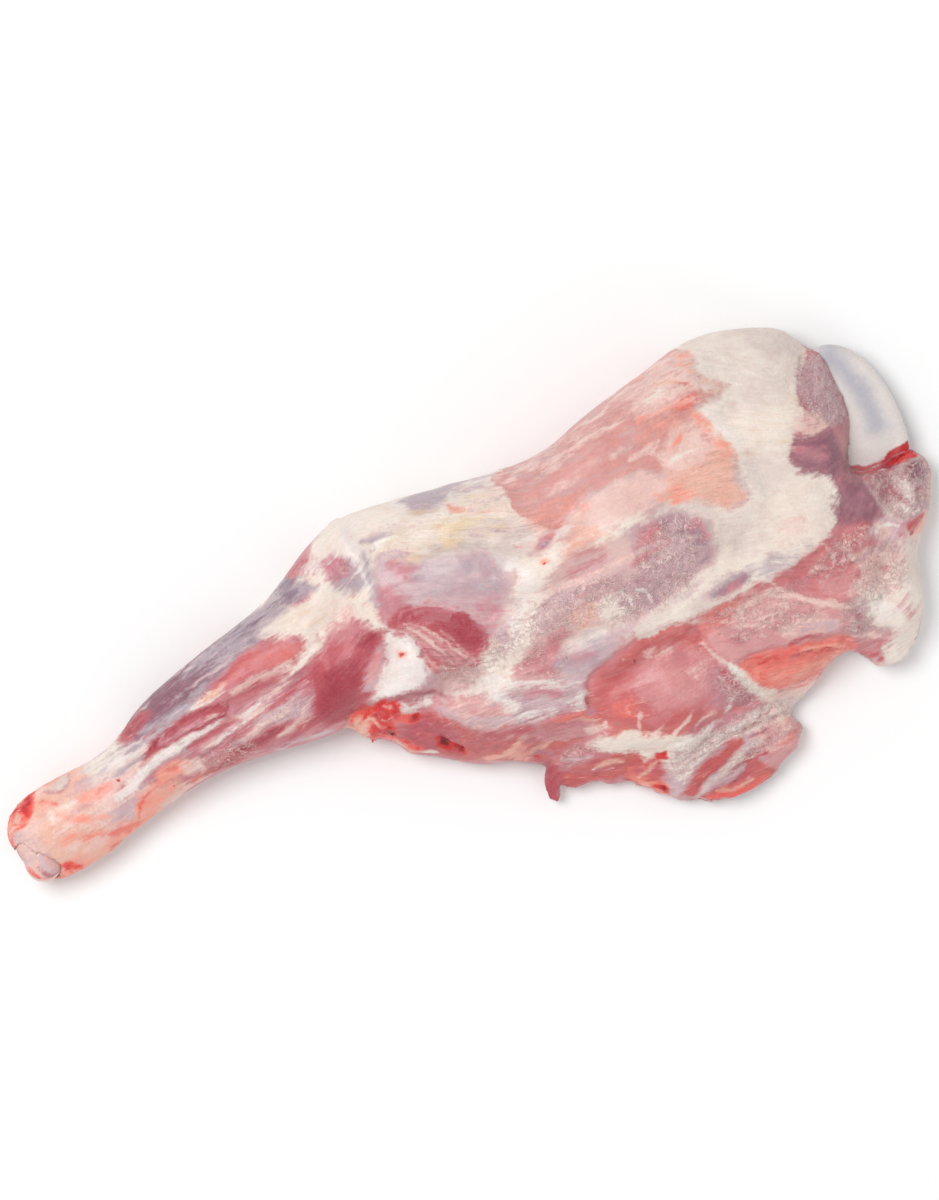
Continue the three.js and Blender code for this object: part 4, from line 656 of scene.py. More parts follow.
BLADE_EDGE_AND_FLAP = [
    patch("maroon", 3, 1, [
        (176, 72), (181, 68), (184, 60), (182, 50), (182, 40), (183, 34), (178, 26), (174, 19),
        (172, 13), (172, 9), (178, 9), (182, 8), (180, 4), (176, 2), (174, -6), (170, -12),
        (165, -15), (160, -11), (154, -6), (156, -2), (158, 5), (160, 10), (159, 15), (156, 18),
        (150, 20), (147, 24), (146.5, 28), (149, 33), (155, 36), (160, 37), (159, 42), (161, 50),
        (166, 58), (171, 64)]),
    patch("mauve", 3, 0.9, [
        (169, 60), (176, 62), (179, 54), (178, 44), (177, 36), (172, 33), (167, 35), (163, 42),
        (163, 51), (166, 57)]),
    patch("plum", 5, 0.62, [
        (150, 30), (160, 34), (168, 31), (168, 20), (164, 14), (155, 20), (149, 25)]),
    patch("plum", 5, 0.62, [(160, 8), (170, 8), (174, 0), (168, -8), (160, -8), (156, -3)]),
    trail("blush", 3, 0.6, [(150, 30, 1), (156, 27, 1.6), (161, 23, 1)]),
    trail("rose", 3, 0.6, [(170, 32, 0.8), (171, 25, 1.2), (168, 18, 0.8)]),
    patch("shell", 3, 0.62, [(153, 37), (157, 42), (166, 40), (167, 34), (160, 33)]),
    trail("rose", 2.4, 1, [
        (171, 61.6, 1), (174, 65, 1.6), (178.6, 64, 1.8), (180.6, 59, 1.2), (180.6, 50, 0.8)]),
    trail("flush", 1.6, 1, [
        (180.6, 48, 0.5), (180.4, 40, 0.8), (181.4, 34, 1), (178, 28, 0.9), (174.6, 21, 0.8),
        (172, 14, 0.5)]),
    trail("apricot", 1.4, 0.6, [(179.4, 36, 0.6), (179.6, 31.5, 0.8), (176, 26, 0.5)]),
    trail("shell", 1.2, 1, [(171.6, 18.6, 0.4), (169.4, 14, 0.5), (170.4, 9.6, 0.5)]),
    patch("coral", 3.5, 0.7, [
        (158, -6), (166, -8), (170, -13), (164, -20), (156, -18), (152, -10)]),
    patch("deep", 1.4, 1, [
        (170, 14.6), (176, 13), (183, 13.2), (188, 14.6), (194, 15.4), (198, 18), (203, 12),
        (198, 7.6), (188, 7.4), (178, 7.6), (171, 8.6)]),
    patch("crimson", 1.6, 1, [
        (182, 13), (188, 15), (194, 15.6), (198.6, 17.4), (201, 11), (194, 7.6), (184, 8.6)]),
    patch("blood", 1.6, 0.7, [
        (184, 12.6), (190, 14.4), (197, 16.4), (200, 12), (195, 8.6), (187, 9.4)]),
    trail("clot", 1, 0.5, [(184, 12, 0.4), (188, 12.6, 0.6), (192, 11.6, 0.5)]),
    patch("ash", 2.5, 1, [
        (173, 8.6), (186, 8.6), (197, 9), (203, 4), (200, -4), (196, -12), (187, -15), (180, -13),
        (176, -9), (173, 0)]),
    patch("mauve", 2.5, 0.62, [
        (173, 8.6), (186, 8.6), (197, 9), (203, 4), (200, -4), (196, -12), (187, -15), (180, -13),
        (176, -9), (173, 0)]),
    patch("plum", 2, 0.9, [(188.6, 2), (190, 6.4), (197, 6), (198, 2), (193, -1)]),
    patch("maroon", 2.5, 0.62, [(174, 8), (184, 8), (180, 3), (178, -4), (174, -2)]),
    trail("maroon", 1.4, 0.8, [(181, 7, 0.5), (179.6, 2, 0.8), (182, -3, 0.8), (185, -8, 0.6)]),
    trail("maroon", 1.4, 0.7, [(186, 3, 0.4), (188, 0, 0.7), (191, -4, 0.6), (190, -8, 0.5)]),
    patch("white", 2.5, 0.8, [(184, -2), (187, 1.6), (190, -1.6), (189, -5), (185, -5.6)]),
    patch("white", 2.5, 0.7, [(181, -6), (184, -8), (188, -12), (183, -12)]),
    trail("lean", 1.6, 0.9, [(200, 9, 0.8), (200.6, 3, 0.9), (198, -4, 0.7)]),
    trail("blood", 1.2, 0.7, [(197.6, -7, 0.6), (195.4, -10.6, 0.7)]),
    trail("peach", 1.6, 0.7, [(197, -2, 0.4), (193.6, -10, 0.6)]),
    patch("deep", 1.6, 0.9, [
        (180.4, -15), (184, -13.4), (189, -14.6), (186, -16.4), (182, -20), (179.6, -18)]),
    patch("peach", 2.4, 0.9, [(184, -17), (192, -15), (190, -24), (180, -24)]),
    patch("lilac", 3, 1, [(165, -10), (173, -8), (178, -13), (176, -22), (168, -20)]),
    patch("shell", 3, 0.62, [(168, -11), (173, -11), (174, -16), (170, -17)]),
    trail("white", 1, 0.9, [
        (167.6, -12.6, 0.3), (170, -11.4, 0.5), (174, -12, 0.5), (178, -14.6, 0.4)]),
    patch("ash", 3, 1, [
        (172, -19), (180, -20), (186, -26), (184, -35), (182, -46), (176, -58), (166, -67),
        (155, -72), (145, -66), (144, -61), (152, -57), (156, -54), (160, -52), (150, -47),
        (150, -38), (156, -33), (165, -30), (169, -24)]),
    patch("cream", 5, 0.85, [
        (152, -38), (164, -34), (172, -38), (174, -46), (168, -60), (156, -66), (152, -60),
        (160, -52), (154, -46)]),
    trail("white", 4, 0.7, [(156, -38, 1), (160, -43, 2.4), (166, -46, 1.6)]),
    patch("mauve", 2.4, 1, [
        (139, -49), (146, -44), (151, -46), (158, -50.5), (160, -54), (153, -57), (150, -62),
        (144, -62), (140, -55)]),
    patch("rose", 3, 0.8, [(141, -52), (146, -49), (152, -51), (157, -53), (150, -59), (145, -58)]),
    trail("deep", 1.4, 0.62, [(143, -56, 0.6), (148, -58, 1), (151, -60.6, 0.6)]),
    trail("shell", 1.2, 0.6, [(144, -47, 0.4), (150, -50, 0.6), (157, -54, 0.4)]),
    patch("mauve", 3, 1, [(141, -42), (145, -33), (152, -33), (152, -45), (146, -48)]),
    patch("mauve", 4, 0.6, [
        (156, -19), (168, -18), (174, -26), (170, -33), (158, -34), (148, -32)]),
    patch("shell", 4, 0.6, [
        (154, -22), (166, -19), (172, -26), (168, -34), (158, -35), (150, -30)]),
    trail("rose", 2, 0.5, [(160, -22, 0.8), (165, -27, 1), (170, -31, 0.6)]),
    trail("maroon", 2, 0.62, [(146, -36, 0.8), (148, -42, 1.2), (146, -47, 0.8)]),
    trail("blush", 4, 0.4, [(164, -38, 1), (167, -42, 1.6), (167, -47, 1)]),
]

REAR_MUSCLES = [
    patch("coral", 2.4, 1, [
        (35.5, -30), (37, -24), (41, -19.5), (46, -17.5), (52, -17), (57, -14.5), (65, -13.6),
        (75, -13), (80, -14), (86, -18), (89, -26), (92, -33), (94, -40), (96, -46), (100, -53),
        (101, -57), (90, -55.4), (78, -54.5), (68, -54), (58, -53), (52, -49.8), (49, -45.5),
        (44, -44.5), (40, -42), (38.5, -38), (40, -35)]),
    patch("lean", 6, 0.55, [(38, -30), (44, -22), (55, -24), (58, -36), (52, -42), (42, -40)]),
    patch("ember", 5, 0.42, [(39, -36), (48, -35), (52, -41), (48, -45.4), (41, -43)]),
    patch("flush", 7, 0.5, [
        (58, -24), (74, -22), (83, -28), (86, -36), (80, -43), (70, -43), (60, -40), (56, -32)]),
    patch("mauve", 6, 0.3, [(62, -28), (76, -28), (82, -36), (74, -44), (62, -40)]),
    trail("shell", 3, 0.5, [(76, -33, 1), (79.6, -34.6, 1.8), (83, -33, 1)]),
    trail("shell", 2.4, 0.4, [(65, -20.4, 0.6), (69, -21.6, 1), (73, -22, 0.6)]),
    patch("lean", 4, 0.62, [
        (50, -45), (58, -48), (66, -47), (74, -49), (74, -54), (62, -53), (54, -51)]),
    trail("lean", 4, 0.55, [(52, -19.4, 2), (62, -17, 2), (76, -16, 2), (85, -23, 2)]),
    patch("blush", 3, 0.85, [
        (82, -36), (89, -34), (93, -42), (99, -53), (94, -57), (86, -52), (80, -48), (82, -42)]),
    trail("deep", 2, 0.7, [(88, -38, 0.8), (91, -43, 1.4), (96, -51, 1.2)]),
    trail("clot", 0.6, 1, [(58.4, -19.5, 0.5), (58.9, -19.8, 0.5)]),
    trail("shell", 1, 0.9, [(49, -46, 0.4), (50.4, -43, 0.5), (52.4, -40, 0.4)]),
    trail("shell", 1, 0.9, [(52, -51.6, 0.5), (57, -50.4, 0.5), (59.6, -48.6, 0.3)]),
    trail("shell", 1, 0.9, [(60.6, -54.4, 0.5), (64, -52, 0.5), (70, -50.4, 0.4)]),
    trail("shell", 1, 0.9, [(70, -55.6, 0.5), (74, -53.4, 0.5), (80, -51.6, 0.4)]),
    trail("white", 1.4, 0.8, [(84, -54, 0.5), (88, -50, 0.7), (92, -47, 0.4)]),
    patch("flush", 2.5, 1, [
        (90, -15.4), (100, -14.5), (112, -13), (122, -16), (128, -24), (137, -31), (144, -36),
        (142, -44), (128, -42), (115, -40), (104, -39), (97, -39), (93, -36), (89, -27)]),
    patch("rose", 6, 0.5, [(98, -24), (112, -20), (122, -24), (118, -33), (102, -35)]),
    patch("coral", 4, 0.9, [(85, -20), (92, -15), (102, -14), (110, -14.6), (104, -20), (92, -22)]),
    trail("ember", 3, 0.4, [(88, -18.6, 0.8), (96, -17, 1.4), (104, -16.6, 0.8)]),
    patch("shell", 4, 0.55, [(100, -20), (114, -16), (124, -20), (120, -26), (104, -26)]),
    patch("shell", 3, 0.8, [
        (116, -33), (126, -32), (137, -37), (141, -41), (130, -41), (120, -38)]),
    trail("lilac", 3, 0.7, [(122, -34.6, 1), (130, -36, 1.8), (138, -40, 1.4)]),
    trail("deep", 1.6, 0.6, [(118, -39, 0.5), (127, -40, 0.8), (136, -43, 0.5)]),
    trail("shell", 1.2, 1, [(86, -24.6, 0.4), (89, -31, 0.6), (92, -37, 0.9)]),
    patch("ember", 1.8, 1, [
        (96, -40), (102, -38.5), (112, -40), (122, -41.5), (132, -44), (141, -47.5), (144, -52),
        (136, -55), (128, -57), (118, -56), (110, -55), (103, -53), (99, -49), (97, -44)]),
    patch("graze", 5, 0.4, [(99, -41), (112, -41), (120, -45), (114, -52), (102, -49)]),
    trail("apricot", 3, 0.5, [(102, -46, 1), (112, -50, 1.6), (124, -52.6, 1.2), (136, -53, 0.8)]),
    trail("lean", 1.4, 0.9, [(116, -43.6, 0.4), (126, -46, 0.7), (137, -50, 0.5)]),
    trail("blood", 1.2, 0.5, [(101, -40.8, 0.5), (106, -41.6, 0.8), (112, -43, 0.5)]),
    trail("blood", 1, 0.5, [(127, -45.6, 0.4), (134, -48.6, 0.5)]),
    trail("apricot", 1.2, 0.6, [(122, -44, 0.4), (131, -46, 0.6), (139, -49.6, 0.4)]),
    patch("cream", 1.6, 1, [
        (91.6, -37), (95, -38.6), (97.4, -45), (100.6, -50), (106, -54.4), (104, -58), (98, -54),
        (94, -47), (91.6, -41)]),
    trail("shell", 1.6, 1, [
        (103, -56.4, 1.2), (112, -58.4, 2.4), (120, -59, 1.8), (128, -56.4, 0.8)]),
    trail("ember", 0.9, 0.8, [(111, -56.6, 0.4), (119, -57, 0.5), (127, -54.8, 0.4)]),
    patch("ash", 2.4, 0.7, [
        (104, -58.5), (112, -60), (122, -61), (120, -65), (110, -68), (104, -62)]),
    patch("coral", 2.4, 1, [
        (113, -12.4), (125, -12), (137, -9.8), (147, -8), (149, -12), (147, -19), (140, -19),
        (130, -17.4), (120, -15)]),
    patch("coral", 3.5, 0.9, [
        (132, -21), (142, -18), (151, -18), (156, -24), (151, -30), (143, -32), (137, -27)]),
    patch("flush", 4, 0.7, [(138, -23), (146, -21), (153, -24), (149, -29), (143, -30)]),
    trail("shell", 1.4, 1, [
        (119, -11, 0.4), (123, -17, 0.6), (127, -22, 0.6), (131, -26, 0.8), (136, -30, 0.9),
        (142, -33, 1.2), (148, -36.4, 1)]),
    trail("shell", 1.1, 0.9, [(145.6, -8, 0.4), (148, -13, 0.6), (148, -17, 0.5), (145, -20, 0.4)]),
    trail("shell", 1.2, 0.6, [(136, -17.6, 0.4), (141, -16.4, 0.9), (145.6, -18.6, 0.5)]),
    trail("shell", 1.2, 0.6, [(150.6, -11, 0.5), (154, -14, 0.9), (155, -19, 0.6)]),
]

STROKES = (
    UNDERLAY + BELLY + KNUCKLE_AND_SHANK + FOREARM + ELBOW + BELLY_FLAP + UPPER_ARM + BLADE
    + BLADE_EDGE_AND_FLAP + REAR_MUSCLES
)

# Where the skin over the meat is crinkled into fine threads and pits.
FROTH = [
    patch("froth", 5, 1, [
        (-16, 8), (-8, 9), (2, 6), (14, 13), (20, 4), (10, -2), (-4, -2), (-14, 2)]),
    patch("froth", 5, 1, [
        (16, 4), (22, 12), (34, 15), (48, 17), (66, 15), (66, 6), (44, 1), (28, 2)]),
    patch("froth", 5, 1, [
        (62, 6), (72, 14), (84, 26), (96, 28), (104, 20), (100, 8), (90, -3), (72, -5), (56, -4)]),
    patch("froth", 5, 0.55, [(14, -5), (28, 3), (40, 2), (34, -8), (26, -13)]),
    patch("froth", 4, 1, [
        (166, 62), (178, 64), (180, 48), (179, 36), (172, 32), (163, 38), (161, 48)]),
    patch("froth", 3, 1, [(174, 9), (190, 9), (201, 4), (196, -10), (182, -14), (175, -6)]),
    patch("froth", 4, 1, [(148, -34), (156, -20), (170, -18), (175, -28), (168, -38), (152, -38)]),
    patch("froth", 3, 1, [(140, -42), (144, -33), (152, -34), (153, -46), (146, -49)]),
    patch("froth", 3, 0.66, [
        (56, -62), (70, -59), (90, -57), (104, -58), (110, -64), (100, -66), (88, -65), (76, -66),
        (60, -71), (55, -72)]),
    patch("froth", 3, 0.66, [
        (66, -78), (76, -74), (88, -70), (102, -67), (104, -73), (90, -76), (80, -78)]),
    patch("froth", 5, 0.7, [
        (116, -14), (132, -18), (148, -10), (166, -8), (162, -20), (140, -22), (122, -20)]),
    patch("froth", 3, 0.62, [(16, -44), (24, -42), (30, -45), (28, -48), (18, -48)]),
    patch("froth", 4, 0.8, [(84, -38), (92, -38), (100, -54), (88, -54)]),
    patch("froth", 4, 0.8, [(-112, 7), (-114, 14), (-98, 15), (-94, 8)]),
    patch("froth", 6, 0.6, [(92, -16), (112, -15), (136, -32), (120, -34), (98, -30)]),
    patch("froth", 4, 0.6, [(-88, 14), (-68, 16), (-62, 22), (-72, 22), (-86, 18)]),
]

# Where the grain shows as strong threads.
THREADS = [
    patch("threads", 3, 1, [
        (-23, 31), (-12, 30), (-5, 23), (1, 13), (6, 8), (6, 4), (-2, 2), (-10, 4), (-15, 8),
        (-17, 18)]),
    patch("threads", 4, 1, [
        (-145, 22), (-130, 30), (-94, 34), (-66, 30), (-64, 16), (-94, 8), (-125, 6)]),
    patch("threads", 4, 1, [
        (-140, 42), (-100, 58), (-56, 68), (-60, 50), (-95, 42), (-120, 32), (-140, 32)]),
    patch("threads", 4, 1, [
        (54, -63), (75, -57), (100, -55), (112, -60), (114, -74), (96, -88), (60, -84)]),
    patch("threads", 6, 0.7, [(-16, 60), (10, 80), (40, 74), (46, 42), (24, 46), (0, 50)]),
    patch("threads", 5, 0.8, [(38, 74), (64, 76), (72, 64), (56, 60), (40, 60)]),
    patch("threads", 4, 0.8, [
        (-20, -8), (8, -10), (36, -20), (36, -40), (0, -38), (-36, -20), (-36, -8)]),
    patch("threads", 4, 0.8, [(96, -38), (110, -38), (142, -46), (140, -56), (104, -58)]),
    patch("threads", 5, 0.7, [(60, 76), (126, 94), (134, 66), (120, 60), (90, 66)]),
    patch("threads", 4, 0.8, [(84, -22), (94, -38), (102, -56), (92, -56), (80, -44)]),
    patch("threads", 4, 0.9, [(8, -44), (30, -48), (58, -58), (52, -78), (34, -66), (8, -60)]),
    patch("threads", 4, 0.7, [(92, 34), (128, 44), (128, 18), (106, 24)]),
    patch("threads", 6, 0.6, [(112, -12), (146, -8), (158, -22), (142, -34), (96, -18)]),
    patch("threads", 5, 0.6, [(140, -44), (160, -50), (158, -64), (140, -62)]),
]

# Which way the grain runs: (x, y, degrees from the leg's length).
GRAIN = [
    (-190, 12, 5), (-170, 12, 8), (-150, 16, 10), (-130, 20, 12), (-132, 39, 22),
    (-110, 45, 14), (-88, 50, 7), (-66, 57, 8), (-80, 38, 4), (-122, 11, 8),
    (-100, 15, 10), (-80, 20, 12), (-60, 22, 26), (-44, 31, 36), (-62, 8, 6),
    (-114, 28, 9), (-54, 48, 6), (-44, 62, 24), (-27, 58, 72), (-34, 76, 30),
    (-12, 20, -58), (-20, 28, -50), (1, 22, -40), (-28, 14, -8), (-26, 2, -12),
    (-32, -8, -32), (-12, -22, -18), (2, -30, -10), (22, -32, -14), (-6, -14, -12),
    (18, -18, -22), (0, 44, -20), (15, 31, -30), (-4, 70, -10), (24, 62, -14),
    (34, 50, -22), (55, 48, -6), (52, 66, -12), (80, 62, -4), (110, 76, 8),
    (104, 40, -12), (118, 26, -14), (76, 40, 8), (50, 12, -6), (90, 12, 12),
    (40, -6, -4), (82, -8, 0), (110, -4, 6), (140, 62, -30), (140, 30, -30),
    (136, 8, 6), (172, 50, 78), (156, 28, -34), (163, 0, 66), (150, -18, -12),
    (108, -28, -10), (130, -24, -46), (112, -46, -14), (136, -48, -14), (174, -34, 64),
    (154, -56, 30), (186, 0, 40), (50, -30, -6), (74, -38, 6), (92, -46, -50),
    (86, -62, 20), (102, -70, 18), (72, -70, 17), (74, -84, 4), (20, -53, -8),
    (46, -63, -26), (7, -54, 80), (34, -48, -14),
]

# Creases and ridges finer than the solid has: a path of (x, y), its half width and its
# height, in mm.
CREASES = [
    ([(-139, 20.4), (-133, 24.6), (-125, 28.3), (-115, 31), (-105, 32), (-98, 32),
      (-95.4, 29.5)], 1.1, -0.7),
    ([(-133, 22.6), (-124, 24.2), (-112, 25), (-101, 25), (-96.4, 26.6), (-95.4, 29.5)], 1.1, -0.8),
    ([(-140, 31.5), (-124, 31), (-113, 33.6), (-104, 37), (-94, 41), (-86, 44.4)], 1.3, -0.6),
    ([(-150, 21.6), (-140, 23.8), (-130, 26.4)], 1.2, -0.5),
    ([(-128, 42.6), (-116, 45.4), (-100, 47.4), (-86, 48.4)], 1.2, -0.35),
    ([(-122, 37), (-108, 40.4), (-94, 43.2)], 1.2, -0.35),
    ([(-116, 14.6), (-104, 17.4), (-88, 20.8), (-74, 24.4), (-64, 27.6)], 1.2, -0.6),
    ([(-120, 19.2), (-104, 21), (-88, 22.6)], 1, -0.4),
    ([(-98, 33.4), (-80, 33.4), (-64, 33.6), (-56, 38)], 1.4, -0.5),
    ([(-72, 27), (-60, 32.6), (-50, 37.4), (-44, 41)], 1.4, 0.6),
    ([(-66, 44.6), (-56, 43), (-57, 38)], 1.6, 0.4),
    ([(-24, 34), (-25, 46), (-26, 60), (-28, 74)], 3, 1),
    ([(-34, 52), (-30, 58), (-34, 66)], 4, -1.6),
    ([(-36, 52.8), (-31, 55.4), (-25.6, 57.7)], 0.8, 0.6),
    ([(-42, 8), (-36, 13.4), (-32, 18.6), (-29, 25), (-26, 30)], 1.4, -0.9),
    ([(-18, 25), (-16.6, 18), (-17, 9)], 1.3, -0.8),
    ([(-54, 4), (-44, 5.4), (-34, 4.6), (-24, 1.4), (-14, -1)], 1.6, -1.2),
    ([(-52, -1), (-46, 3)], 1.6, 1.2),
    ([(-24.4, -16.6), (-23, -20.6), (-19, -25)], 1.5, -1.6),
    ([(-18, 35.4), (-6, 33.4), (4, 27), (10, 17), (9, 10)], 1.4, -0.6),
    ([(12, -27), (24, -29.6), (38, -35)], 1.2, 0.6),
    ([(10, -26), (22, -27.6), (36, -31)], 1.3, -0.7),
    ([(14, -43.4), (24, -45), (34, -50), (44, -54), (52, -57)], 1.6, -0.9),
    ([(36, -28), (37, -36), (41, -43), (50, -47), (58, -52)], 1.6, -1),
    ([(36, -28), (40, -20), (52, -16), (66, -13), (80, -14.6), (86, -21), (90, -31), (94, -42),
      (102, -56)], 1.5, -0.9),
    ([(96, -38.6), (110, -39), (128, -42.6), (142, -47)], 1.4, -0.9),
    ([(119, -11), (123, -17), (127, -22), (136, -30), (147, -35.6)], 1, 0.6),
    ([(112, -12), (126, -11.6), (140, -9.4), (152, -6), (157, 2), (160.5, 12)], 1.3, 0.5),
    ([(147, 25), (153, 20.5), (160, 15)], 1.5, 0.5),
    ([(121.5, 61), (125.4, 49), (129, 37), (127, 31), (128, 22), (122, 18.8),
      (112, 19.6)], 1.2, -0.3),
    ([(127.6, 88), (129, 80), (127.4, 75), (136, 64.6), (131, 62), (122, 61)], 1.2, -0.5),
    ([(38.6, 66), (39, 54), (44, 45), (51, 39.6), (58, 42.6), (74, 47.6), (92, 47.4)], 1.3, 0.5),
    ([(150, -48), (144, -38), (140, -50)], 2.4, -1),
    ([(168, -8), (174, -18), (172, -24)], 2, -0.8),
    ([(170, 12.6), (182, 11.4), (196, 13)], 1.4, -0.8),
    ([(172, 66), (167, 58), (161, 49), (158, 41)], 1.3, -0.5),
    ([(54, -72), (62, -70), (72, -65), (84, -61.6)], 1, 0.6),
    ([(60, -79), (70, -76), (84, -70)], 1.2, -0.7),
    ([(56, -58), (70, -56.6), (88, -55)], 1.6, -0.8),
    ([(62, -82), (72, -83), (88, -77)], 1.2, -0.6),
    ([(38, -60), (48, -58.6), (56, -60)], 1.1, -0.7),
]

# ================================================================ measuring the plan

def smooth_line(points, closed, steps=4):
    """A curve through the points, each span cut into steps."""
    points = np.array(points, float)
    count = len(points)
    spans = count if closed else count - 1
    line = []
    for i in range(spans):
        if closed:
            a, b, c, d = (points[(i + k) % count] for k in (-1, 0, 1, 2))
        else:
            a, b, c, d = (points[min(max(i + k, 0), count - 1)] for k in (-1, 0, 1, 2))
        for t in np.arange(steps) / steps:
            line.append(0.5 * (2 * b + (c - a) * t + (2 * a - 5 * b + 4 * c - d) * t**2
                               + (3 * b - a - 3 * c + d) * t**3))
    if not closed:
        line.append(points[-1])
    return np.array(line)


def nearest_on_line(at, line):
    """Distance from each point to a line of [x, y, ...], and the line's own values there."""
    best = np.full(len(at), np.inf)
    values = np.zeros((len(at), line.shape[1] - 2))
    for a, b in zip(line[:-1], line[1:]):
        along = b[:2] - a[:2]
        share = np.clip(((at - a[:2]) @ along) / max(along @ along, 1e-9), 0, 1)
        distance = np.linalg.norm(at - a[:2] - share[:, None] * along, axis=1)
        nearer = distance < best
        best[nearer] = distance[nearer]
        values[nearer] = a[2:] + share[nearer, None] * (b[2:] - a[2:])
    return best, values


def inside_outline(at, outline):
    inside = np.zeros(len(at), bool)
    for (ax, ay), (bx, by) in zip(outline, np.roll(outline, -1, axis=0)):
        crosses = (ay > at[:, 1]) != (by > at[:, 1])
        if crosses.any():
            reach = ax + (bx - ax) * (at[:, 1] - ay) / ((by - ay) or 1e-9)
            inside ^= crosses & (at[:, 0] < reach)
    return inside


FIELD_REACH = 1.4  # a field runs from minus this to this
THIN_ENDS = 0.22  # the share of a trail over which each end thins out
END_WIDTH = 0.35  # of the full width


def trail_line(path):
    """The trail's line, running out to a thin end on both sides."""
    line = smooth_line(path, False)
    steps = np.linalg.norm(np.diff(line[:, :2], axis=0), axis=1)
    run = np.concatenate([[0], np.cumsum(steps)])
    share = np.minimum(run, run[-1] - run) / (THIN_ENDS * run[-1])
    line[:, 2] *= END_WIDTH + (1 - END_WIDTH) * np.sqrt(np.clip(share, 0, 1))
    return line


def stroke_values(at, stroke):
    """The points near a stroke, and its value there: above 0 inside, 0 at its edge."""
    is_patch = "outline" in stroke
    line = smooth_line(stroke["outline"], True) if is_patch else trail_line(stroke["path"])
    soft = stroke["soft"]
    margin = FIELD_REACH * soft + (0 if is_patch else line[:, 2].max())
    low, high = line[:, :2].min(0) - margin, line[:, :2].max(0) + margin
    near = np.flatnonzero(((at > low) & (at < high)).all(1))
    if is_patch:
        distance, _ = nearest_on_line(at[near], np.vstack([line, line[:1]]))
        depth = np.where(inside_outline(at[near], line), distance, -distance)
    else:
        distance, width = nearest_on_line(at[near], line)
        depth = 1.15 * width[:, 0] - distance
    full = FIELD_REACH * (2 * stroke["cover"] - 1)
    return near, np.clip(depth / soft, -FIELD_REACH, full)


def fields_over(at, strokes, order):
    """Each tissue's field. The material lays the tissues in their order, so where a stroke
    comes after one of a tissue that lies higher, the higher tissue is opened up to show it."""
    fields = np.full((len(order), len(at)), -FIELD_REACH)
    for stroke in strokes:
        near, value = stroke_values(at, stroke)
        level = order.index(stroke["tissue"])
        higher = fields[level + 1:, near]
        if higher.size:
            fields[level + 1:, near] = np.minimum(higher, -value)
            value = value + 1.2 * np.clip((higher.max(0) + 1) / 1.6, 0, 1)
        fields[level, near] = np.maximum(fields[level, near], value)
    return dict(zip(order, fields))


# ================================================================ noise

def lattice_noise(at, seed):
    """Smooth noise between about -1 and 1 over three axes, with one cell for each unit."""
    cell = np.floor(at).astype(np.int64)
    share = at - cell
    ease = share * share * share * (share * (share * 6 - 15) + 10)

    def corner(dx, dy, dz):
        x, y, z = (cell[:, k] + d for k, d in enumerate((dx, dy, dz)))
        mixed = (x * 374761393 + y * 668265263 + z * 2147483647 + seed * 1274126177)
        mixed = (mixed ^ (mixed >> 13)) * 1103515245
        mixed = (mixed ^ (mixed >> 16)) & 0xFFFF
        turn = mixed * (2 * math.pi / 65536)
        lift = ((mixed * 40503) & 0xFFFF) / 32768 - 1
        flat = np.sqrt(1 - lift**2)
        off = share - (dx, dy, dz)
        return off[:, 0] * flat * np.cos(turn) + off[:, 1] * flat * np.sin(turn) + off[:, 2] * lift

    def between(a, b, k):
        return a + (b - a) * ease[:, k]

    layers = [
        between(between(corner(0, 0, z), corner(1, 0, z), 0),
                between(corner(0, 1, z), corner(1, 1, z), 0), 1)
        for z in (0, 1)
    ]
    return 1.6 * between(*layers, 2)


def layered_noise(at, size, seed, octaves=3):
    """Noise whose largest cells have the size, with finer and fainter layers over them."""
    total = np.zeros(len(at))
    for n in range(octaves):
        total += lattice_noise(at / size * 2**n, seed + 17 * n) / 2**n
    return total


# ================================================================ the grain

def grain_coordinates(at):
    """How far along the grain and across it each point of the plan lies, in mm.

    The directions are spread over a grid, and the two coordinates are the fields whose
    slopes follow them best."""
    step, half_length, half_width = 2.0, 320, 210
    xs = np.arange(-half_length, half_length, step)
    ys = np.arange(-half_width, half_width, step)
    gx, gy = np.meshgrid(xs, ys, indexing="ij")
    weight = np.zeros_like(gx)
    turn = np.zeros_like(gx)
    for x, y, degrees in GRAIN:
        share = 1 / (((gx - x) ** 2 + (gy - y) ** 2) ** 2 + 400)
        weight += share
        turn += share * math.radians(degrees)
    turn /= weight
    kx = 2 * math.pi * np.fft.fftfreq(len(xs), step)[:, None]
    ky = 2 * math.pi * np.fft.fftfreq(len(ys), step)[None, :]
    square = kx**2 + ky**2
    square[0, 0] = 1

    def integrate(slope_x, slope_y):
        mean_x, mean_y = slope_x.mean(), slope_y.mean()
        wave = -1j * (kx * np.fft.fft2(slope_x - mean_x) + ky * np.fft.fft2(slope_y - mean_y))
        wave /= square
        wave[0, 0] = 0
        return np.fft.ifft2(wave).real + mean_x * gx + mean_y * gy

    column = (at[:, 0] - xs[0]) / step
    row = (at[:, 1] - ys[0]) / step
    i, j = column.astype(int), row.astype(int)
    u, v = column - i, row - j

    def sample(grid):
        return (grid[i, j] * (1 - u) * (1 - v) + grid[i + 1, j] * u * (1 - v)
                + grid[i, j + 1] * (1 - u) * v + grid[i + 1, j + 1] * u * v)

    along = integrate(np.cos(turn), np.sin(turn))
    across = integrate(-np.sin(turn), np.cos(turn))
    return sample(along), sample(across)


# ================================================================ meshes

def linked(name, mesh):
    piece = bpy.data.objects.new(name, mesh)
    bpy.context.scene.collection.objects.link(piece)
    return piece


